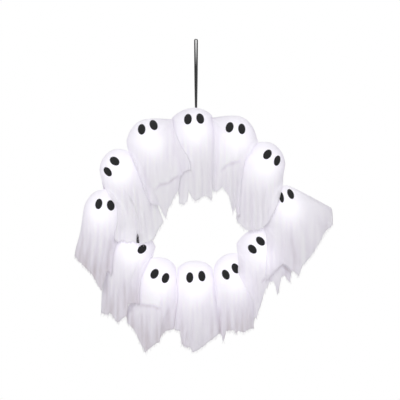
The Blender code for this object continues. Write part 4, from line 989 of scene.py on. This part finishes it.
def front_rows(ghost, seed):
    """Rows of points from the ball's top down to the torn hem, folded, in front of what lies behind."""
    spans = len(ghost["hem"]) - 1
    columns = spans * COLUMNS_BETWEEN
    angles = math.pi * (np.arange(columns + 1) / columns - 0.5)
    rows = [cap_points(ghost, angles, math.pi / 2 * row / CAP_ROWS) for row in range(CAP_ROWS + 1)]
    rim = rows[-1][:, [0, 2]]
    hem_knots = np.array([place(point) for point in ghost["hem"]])
    at = np.arange(columns + 1) / COLUMNS_BETWEEN
    hem = np.stack([np.interp(at, np.arange(spans + 1), hem_knots[:, axis]) for axis in (0, 1)], axis=-1)
    widths = np.abs(np.diff(hem_knots[:, 0]))
    narrow = np.minimum(np.append(widths, widths[-1]), np.insert(widths, 0, widths[0]))
    chooser = random.Random(seed)
    for column in range(columns + 1):
        hem[column, 1] += TEAR_DEPTH * chooser.uniform(-1, 0.6)
    downs = np.arange(1, FRONT_ROWS + 1) / FRONT_ROWS
    left = along_line([tuple(rim[0])] + [place(point) for point in ghost["left"]] + [tuple(hem[0])], downs)
    right = along_line([tuple(rim[-1])] + [place(point) for point in ghost["right"]] + [tuple(hem[-1])], downs)
    over = (np.arange(columns + 1) / columns)[:, None]
    pleat_size = np.interp(at, np.arange(spans + 1), np.minimum(PLEAT_DEPTH, PLEAT_SHARE * narrow))
    pleat_wave = (0.5 - 0.5 * np.cos(math.pi * at)) * 0.7
    for row, down in enumerate(downs):
        sides = (1 - over) * left[row] + over * right[row]
        ends = (1 - down) * rim + down * hem
        corners = ((1 - over) * ((1 - down) * rim[0] + down * hem[0])
                   + over * ((1 - down) * rim[-1] + down * hem[-1]))
        flat = sides + ends - corners
        front = COVER_RADIUS + (HEM_FRONT_DEPTH - COVER_RADIUS) * down
        side = HEM_SIDE_DEPTH * down
        rounded = np.maximum(np.cos(angles), 0.0) ** (1 - HEM_ROUNDING * down)
        y = head_y - side - (front - side) * rounded - pleat_size * down * pleat_wave
        rows.append(np.stack([flat[:, 0], y, flat[:, 1]], axis=-1))
    rows = np.array(rows)

    needed = np.max(neighbours(pushed_needed(rows, LAYER_CLEARANCE + FOLD_ROOM)), axis=0)
    push = np.maximum(needed, 0)
    push[0] = 0
    for _ in range(PUSH_PASSES):
        push = np.maximum(PUSH_KEPT * sum(neighbours(push)) / 9, needed)
        push[0] = 0
    rows[:, :, 1] -= push

    fall = np.concatenate([np.zeros(CAP_ROWS + 1), downs])[:, None]
    ease = np.clip(fall * 5, 0, 1)
    rise = fold_heights(ghost, rows[:, :, 0], rows[:, :, 2])
    for r in range(CAP_ROWS + 1, rows.shape[0]):
        for c in range(rows.shape[1]):
            x, z = rows[r, c, 0], rows[r, c, 2]
            wrinkle = speck(x, z, WRINKLE_SIZE, seed * 3.7) * 1.6 + speck(x, z, FINE_WRINKLE_SIZE, seed * 1.3) * 0.5
            rise[r, c] += WRINKLE_DEPTH * wrinkle * fall[r, 0] ** 0.5
    rows[:, :, 1] -= rise * ease
    final = np.max(neighbours(pushed_needed(rows, LAYER_CLEARANCE * 0.6)), axis=0)
    rows[1:, :, 1] -= np.maximum(final[1:], 0)
    # Painted shade: fold valleys darker and ridges lighter, the hem greyer partly for thinner gauze and partly as
    # painted shade, then a painted shadow just under the tuck and painted shade on the cap's sides.
    shade = CAP_GREY + ghost["grey"] * fall ** 1.4 - rise * ease * np.where(rise < 0, VALLEY_SHADE, RIDGE_SHADE)
    above, ends = tuck_at(ghost, rows[:, :, 0], rows[:, :, 2])
    shade += TUCK_SHADOW * ends * np.exp(-((above + 1.0) / 1.6) ** 2) + SIDE_EDGE_SHADE * np.sin(angles) ** 10 * (1 - fall) ** 2
    for r in range(CAP_ROWS, rows.shape[0]):
        for c in range(rows.shape[1]):
            streak = speck(rows[r, c, 0], rows[r, c, 2], STREAK_SIZE, seed * 2.9)
            shade[r, c] += STREAK_GREY * streak * min(1.0, fall[r, 0] * 3)
    return rows, push, shade


def behind_heads(ghost, x, z):
    """How far back the cloth must hang to pass behind the other heads."""
    reach = COVER_HEIGHT + HEAD_CLEARANCE
    furthest = -1.0
    for other, (head_x, head_z) in zip(GHOSTS, heads):
        distance = math.hypot(x - head_x, z - head_z)
        if other is not ghost and distance < reach:
            furthest = max(furthest, head_y + math.sqrt(reach ** 2 - distance ** 2))
    return furthest


def ghost_cloth(number, ghost):
    """The whole cloth of one ghost as a thin solid, and the points of its front hem."""
    head_x, head_z = place(ghost["head"])
    rows, push, shade = front_rows(ghost, number)
    columns = rows.shape[1] - 1
    vertices = [rows[0, 0]]
    rings = []
    for row in range(1, CAP_ROWS + 1):
        lean = math.pi / 2 * row / CAP_ROWS
        back_angles = math.pi / 2 + math.pi * np.arange(1, BACK_COLUMNS) / BACK_COLUMNS
        back = cap_points(ghost, back_angles, lean)
        for index in range(BACK_EASE):
            share = 1 - (index + 1) / (BACK_EASE + 1)
            back[index, 1] -= push[row, -1] * share
            back[-1 - index, 1] -= push[row, 0] * share
        rings.append(list(range(len(vertices), len(vertices) + columns + BACK_COLUMNS)))
        vertices += list(rows[row]) + list(back)
    faces = [(0, point, after) for point, after in zip(rings[0], rings[0][1:] + rings[0][:1])]
    for upper, lower in zip(rings, rings[1:]):
        for index in range(len(upper)):
            after = (index + 1) % len(upper)
            faces.append((upper[index], lower[index], lower[after], upper[after]))
    front = [rings[-1][:columns + 1]]
    for row in range(CAP_ROWS + 1, rows.shape[0]):
        front.append(list(range(len(vertices), len(vertices) + columns + 1)))
        vertices += list(rows[row])
    back_grid = [rings[-1][columns:] + [rings[-1][0]]]
    back_valley_shade = {}
    chooser = random.Random(100 + number)
    for row in range(1, BACK_ROWS + 1):
        down = row / BACK_ROWS
        line = []
        for column, top_index in enumerate(back_grid[0]):
            top = vertices[top_index]
            over = 1 - 2 * column / BACK_COLUMNS
            x = top[0] + (head_x + BACK_HALF_WIDTH * over - top[0]) * down
            z = top[2] + (head_z - BACK_LENGTH - top[2]) * down
            z += BACK_TEAR * down ** 3 * (noise.noise(Vector((over * 4, number, 0))) * 1.4 + noise.noise(
                Vector((over * 13, number, 5))) + (chooser.uniform(-0.4, 0.4) if row == BACK_ROWS else 0))
            x += BACK_SWAY * over ** 3 * noise.noise(Vector((down * 5, number, round(over)))) * down
            rounded = 1 - (1 - down ** 1.5) * over ** 4
            hang = BACK_HEM_Y + (head_y + COVER_RADIUS - BACK_HEM_Y) * (1 - down)
            y = head_y + (hang - head_y) * rounded
            fold = noise.noise(Vector((over * 5.5, number * 3.1, down * 0.8))) * 1.5
            fold += noise.noise(Vector((over * 15, number * 1.7, down * 1.5))) * 0.4
            y -= BACK_FOLD_DEPTH * down ** 0.7 * min(1.0, max(0.0, 0.5 + fold))
            y = max(y, behind_heads(ghost, x, z))
            line.append(len(vertices))
            # Painted shade where the back's folds sink in.
            back_valley_shade[len(vertices)] = BACK_FOLD_SHADE * min(1.0, max(0.0, 0.5 + fold))
            vertices.append(np.array([x, y, z]))
        back_grid.append(line)
    for panel in (front, back_grid):
        for upper, lower in zip(panel, panel[1:]):
            for index in range(len(upper) - 1):
                faces.append((upper[index], lower[index], lower[index + 1], upper[index + 1]))

    piece = finished(f"ghost_cloth_{number:02d}", vertices, faces, gauze)
    places = np.array(vertices)
    # Darker downwards from the head; the back's fold hollows get painted shade on top.
    tones = 0.10 + 0.32 * np.clip((head_z - places[:, 2]) / BACK_LENGTH, 0, 1)
    tones[list(back_valley_shade)] += list(back_valley_shade.values())
    for row in range(1, CAP_ROWS + 1):
        tones[rings[row - 1][:columns + 1]] = shade[row]
    for row, line in enumerate(front[1:], start=CAP_ROWS + 1):
        tones[line] = shade[row]
    piece.data.attributes.new("cloth_tone_and_shade", "FLOAT", "POINT").data.foreach_set("value", tones.astype(np.float32))
    strength = np.zeros(len(places))
    for other in GHOSTS:
        lamp_x, lamp_z = place(other["glow"])
        away = np.hypot(places[:, 0] - lamp_x, (places[:, 2] - lamp_z) * 0.9)
        share = 1 if other is ghost else THROUGH_TWO_CLOTHS
        strength += share * (LAMP_STRENGTH * np.exp(-(away / LAMP_REACH) ** 2)
                             + other["halo"] * np.exp(-(away / HALO_REACH) ** 2))
    strength *= np.clip((head_y + 0.012 - places[:, 1]) / 0.02, 0, 1)
    strength += SPREAD_GLOW
    piece.data.attributes.new("lamp_glow", "FLOAT", "POINT").data.foreach_set("value", strength.astype(np.float32))
    flat = piece.data.uv_layers.new(name="cloth")
    wide = np.zeros((len(vertices), 2))
    for grid in (rings, front, back_grid):
        for r, line in enumerate(grid):
            points = np.array([vertices[index] for index in line])
            run = np.concatenate([[0], np.cumsum(np.linalg.norm(np.diff(points, axis=0), axis=1))])
            for c, index in enumerate(line):
                if grid is rings or r > 0:
                    wide[index, 0] = run[c] - run[len(run) // 2]
                    above = grid[r - 1][c] if r > 0 else 0
                    wide[index, 1] = wide[above, 1] - np.linalg.norm(vertices[index] - vertices[above])
    for loop in piece.data.loops:
        flat.data[loop.index].uv = wide[loop.vertex_index]
    add_cover(vertices, faces)

    working = bmesh.new()
    working.from_mesh(piece.data)
    inside = [vertex for vertex in working.verts if vertex.co.y > head_y + COVER_RADIUS / 2
              and math.hypot(vertex.co.x - head_x, vertex.co.z - head_z) < TUBE_HOLE_RADIUS * 0.9]
    cut_edge = {vertex for gone in inside for face in gone.link_faces for vertex in face.verts} - set(inside)
    bmesh.ops.delete(working, geom=inside, context="VERTS")
    for vertex in cut_edge:
        stretch = TUBE_HOLE_RADIUS / math.hypot(vertex.co.x - head_x, vertex.co.z - head_z)
        vertex.co.x = head_x + (vertex.co.x - head_x) * stretch
        vertex.co.z = head_z + (vertex.co.z - head_z) * stretch
    working.to_mesh(piece.data)
    working.free()
    wall = piece.modifiers.new("thickness", "SOLIDIFY")
    wall.thickness = CLOTH_THICKNESS
    wall.offset = -1.0
    settled(piece).shade_smooth()
    return piece, [[vertices[index] for index in panel[-1]] for panel in (front, back_grid)]


# Loose polyester thread: the gauze's own tone, a little greyer because each thread stands alone.
polyester_thread = grained("loose_polyester_thread", 1500.0, "#CFC9D2", "#E2DEE5", 0.8)[0]

# The fringe: a tree that hangs short bent threads along a torn hem.
FRINGE_SPACING = 0.0016
FRINGE_LENGTH = 0.0045
FRINGE_RADIUS = 0.00016
fringe, fringe_sockets, given = node_tree("torn_hem_fringe", "Fringe", {
    "Hem": "Geometry", "Spacing": "Float", "Thread Length": "Float", "Thread Radius": "Float", "Seed": "Int",
    "Thread": "Material"})
edge = add(fringe, "GeometryNodeMeshToCurve", [("Mesh", given["Hem"])])
roots = add(fringe, "GeometryNodeResampleCurve", [("Curve", edge.outputs[0]), ("Length", given["Spacing"])],
            mode="LENGTH")
shares = [add(fringe, "ShaderNodeMath", [(0, given["Thread Length"])], operation="MULTIPLY") for _ in range(3)]
for node, share in zip(shares, (-0.5, 0.25, -1.0)):
    node.inputs[1].default_value = share
half_drop, side_sway, whole_drop = (node.outputs[0] for node in shares)
bend_at = add(fringe, "ShaderNodeCombineXYZ", [("X", side_sway), ("Z", half_drop)])
tip_at = add(fringe, "ShaderNodeCombineXYZ", [("Z", whole_drop)])
one_thread = add(fringe, "GeometryNodeCurveQuadraticBezier", [("Middle", bend_at.outputs[0]),
                                                              ("End", tip_at.outputs[0])], Resolution=3)
one_thread.inputs["Start"].default_value = (0, 0, 0.0006)
section = add(fringe, "GeometryNodeCurvePrimitiveCircle", [("Radius", given["Thread Radius"])], Resolution=3)
solid_thread = add(fringe, "GeometryNodeCurveToMesh", [("Curve", one_thread.outputs[0]),
                                                       ("Profile Curve", section.outputs[0])])
solid_thread.inputs["Fill Caps"].default_value = True
lean = add(fringe, "FunctionNodeRandomValue", [("Seed", given["Seed"])], data_type="FLOAT_VECTOR")
lean.inputs[0].default_value = (-0.25, -0.6, 0.0)
lean.inputs[1].default_value = (0.25, 0.6, 6.28)
size = add(fringe, "FunctionNodeRandomValue", [("Seed", given["Seed"])], data_type="FLOAT")
size.inputs[2].default_value = 0.35
size.inputs[3].default_value = 1.5
hung = add(fringe, "GeometryNodeInstanceOnPoints", [("Points", roots.outputs[0]), ("Instance", solid_thread.outputs[0]),
                                                    ("Rotation", lean.outputs[0]), ("Scale", size.outputs[1])])
real = add(fringe, "GeometryNodeRealizeInstances", [("Geometry", hung.outputs[0])])
clad = add(fringe, "GeometryNodeSetMaterial", [("Geometry", real.outputs[0]), ("Material", given["Thread"])])
add(fringe, "NodeGroupOutput", [("Fringe", clad.outputs[0])])


def hem_fringe(number, hems):
    """Loose threads along a cloth's torn hems, as a plain mesh."""
    points = [point for hem in hems for point in hem]
    steps = [(at, at + 1) for at in range(len(points) - 1) if at + 1 != len(hems[0])]
    line = finished(f"hem_fringe_{number:02d}", points, [], polyester_thread, edges=steps)
    return made_by(line, fringe, fringe_sockets, {
        "Spacing": FRINGE_SPACING, "Thread Length": FRINGE_LENGTH, "Thread Radius": FRINGE_RADIUS, "Seed": number,
        "Thread": polyester_thread})


EYE_HALF_HEIGHT = 0.0104
EYE_RINGS = 7
EYE_SIDES = 36
FELT_THICKNESS = 0.0011
EYE_STAND_OFF = 0.0004
FELT_GRAIN = 0.0005
FELT_EDGE_LOSS = 0.55

# Wool felt: matted fibres in two blacks that stand out, so the ovals look soft and dull.
black_felt = grained("black_wool_felt", 1 / FELT_GRAIN, "#121213", "#29292B", 0.95, detail=4.0, relief=(0.6, 0.0003))[0]


def felt_eye(name, facts):
    """A cut felt oval that follows the cloth under it, with a soft cut edge."""
    eye_x, eye_y, lean, half_width = facts
    centre_x, centre_z = place((eye_x, eye_y))
    turn = math.radians(lean)
    backs = []
    fronts = []
    for ring in range(EYE_RINGS + 1):
        share = math.sin(math.pi / 2 * ring / EYE_RINGS)
        for side in range(EYE_SIDES if ring else 1):
            angle = 2 * math.pi * side / EYE_SIDES
            across = half_width * PIXEL * share * math.cos(angle)
            up = EYE_HALF_HEIGHT * share * math.sin(angle)
            x = centre_x + across * math.cos(turn) + up * math.sin(turn)
            z = centre_z + up * math.cos(turn) - across * math.sin(turn)
            spot, facing = first_hit(x, z)
            if spot is None:
                spot, facing = covers[-1][0].find_nearest(Vector((x, head_y, z)))[:2]
            facing = Vector(facing) if facing.y < 0 else -Vector(facing)
            thick = FELT_THICKNESS * (1 - share ** 8 * FELT_EDGE_LOSS)
            backs.append(spot + facing * EYE_STAND_OFF)
            fronts.append(spot + facing * (EYE_STAND_OFF + thick))
    faces = []
    count = len(backs)
    for side in range(EYE_SIDES):
        after = (side + 1) % EYE_SIDES
        for ring in range(EYE_RINGS):
            inner = [0, 0] if ring == 0 else [1 + (ring - 1) * EYE_SIDES + side, 1 + (ring - 1) * EYE_SIDES + after]
            outer = [1 + ring * EYE_SIDES + side, 1 + ring * EYE_SIDES + after]
            back = tuple(dict.fromkeys([inner[0], inner[1], outer[1], outer[0]]))
            faces.append(back[::-1])
            faces.append(tuple(count + index for index in back))
        edge = 1 + (EYE_RINGS - 1) * EYE_SIDES
        faces.append((edge + side, edge + after, count + edge + after, count + edge + side))
    piece = faced_outward(finished(name, backs + fronts, faces, black_felt))
    add_cover(backs + fronts, faces)
    return piece


for number, (head_x, head_z) in enumerate(heads, start=1):
    ball = turned(f"lit_ball_{number:02d}", (head_x, head_y, head_z), ball_profile, BALL_SIDES, frosted_plastic)
    add_cover([vertex.co for vertex in ball.data.vertices], [tuple(face.vertices) for face in ball.data.polygons])
    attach(ball, "wreath")
    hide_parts(f"ball_{number:02d}")

for layer in sorted({ghost["layer"] for ghost in GHOSTS}):
    for number, ghost in enumerate(GHOSTS, start=1):
        if ghost["layer"] != layer:
            continue
        cloth, hems = ghost_cloth(number, ghost)
        threads = hem_fringe(number, hems)
        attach(threads, "wreath")
        for side, facts in zip(("left", "right"), ghost["eyes"]):
            eye = felt_eye(f"felt_eye_{number:02d}_{side}", facts)
            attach(eye, "wreath")
            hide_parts(f"eye_{number:02d}_{side}")
        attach(cloth, "wreath")
        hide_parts(f"drape_{number:02d}")
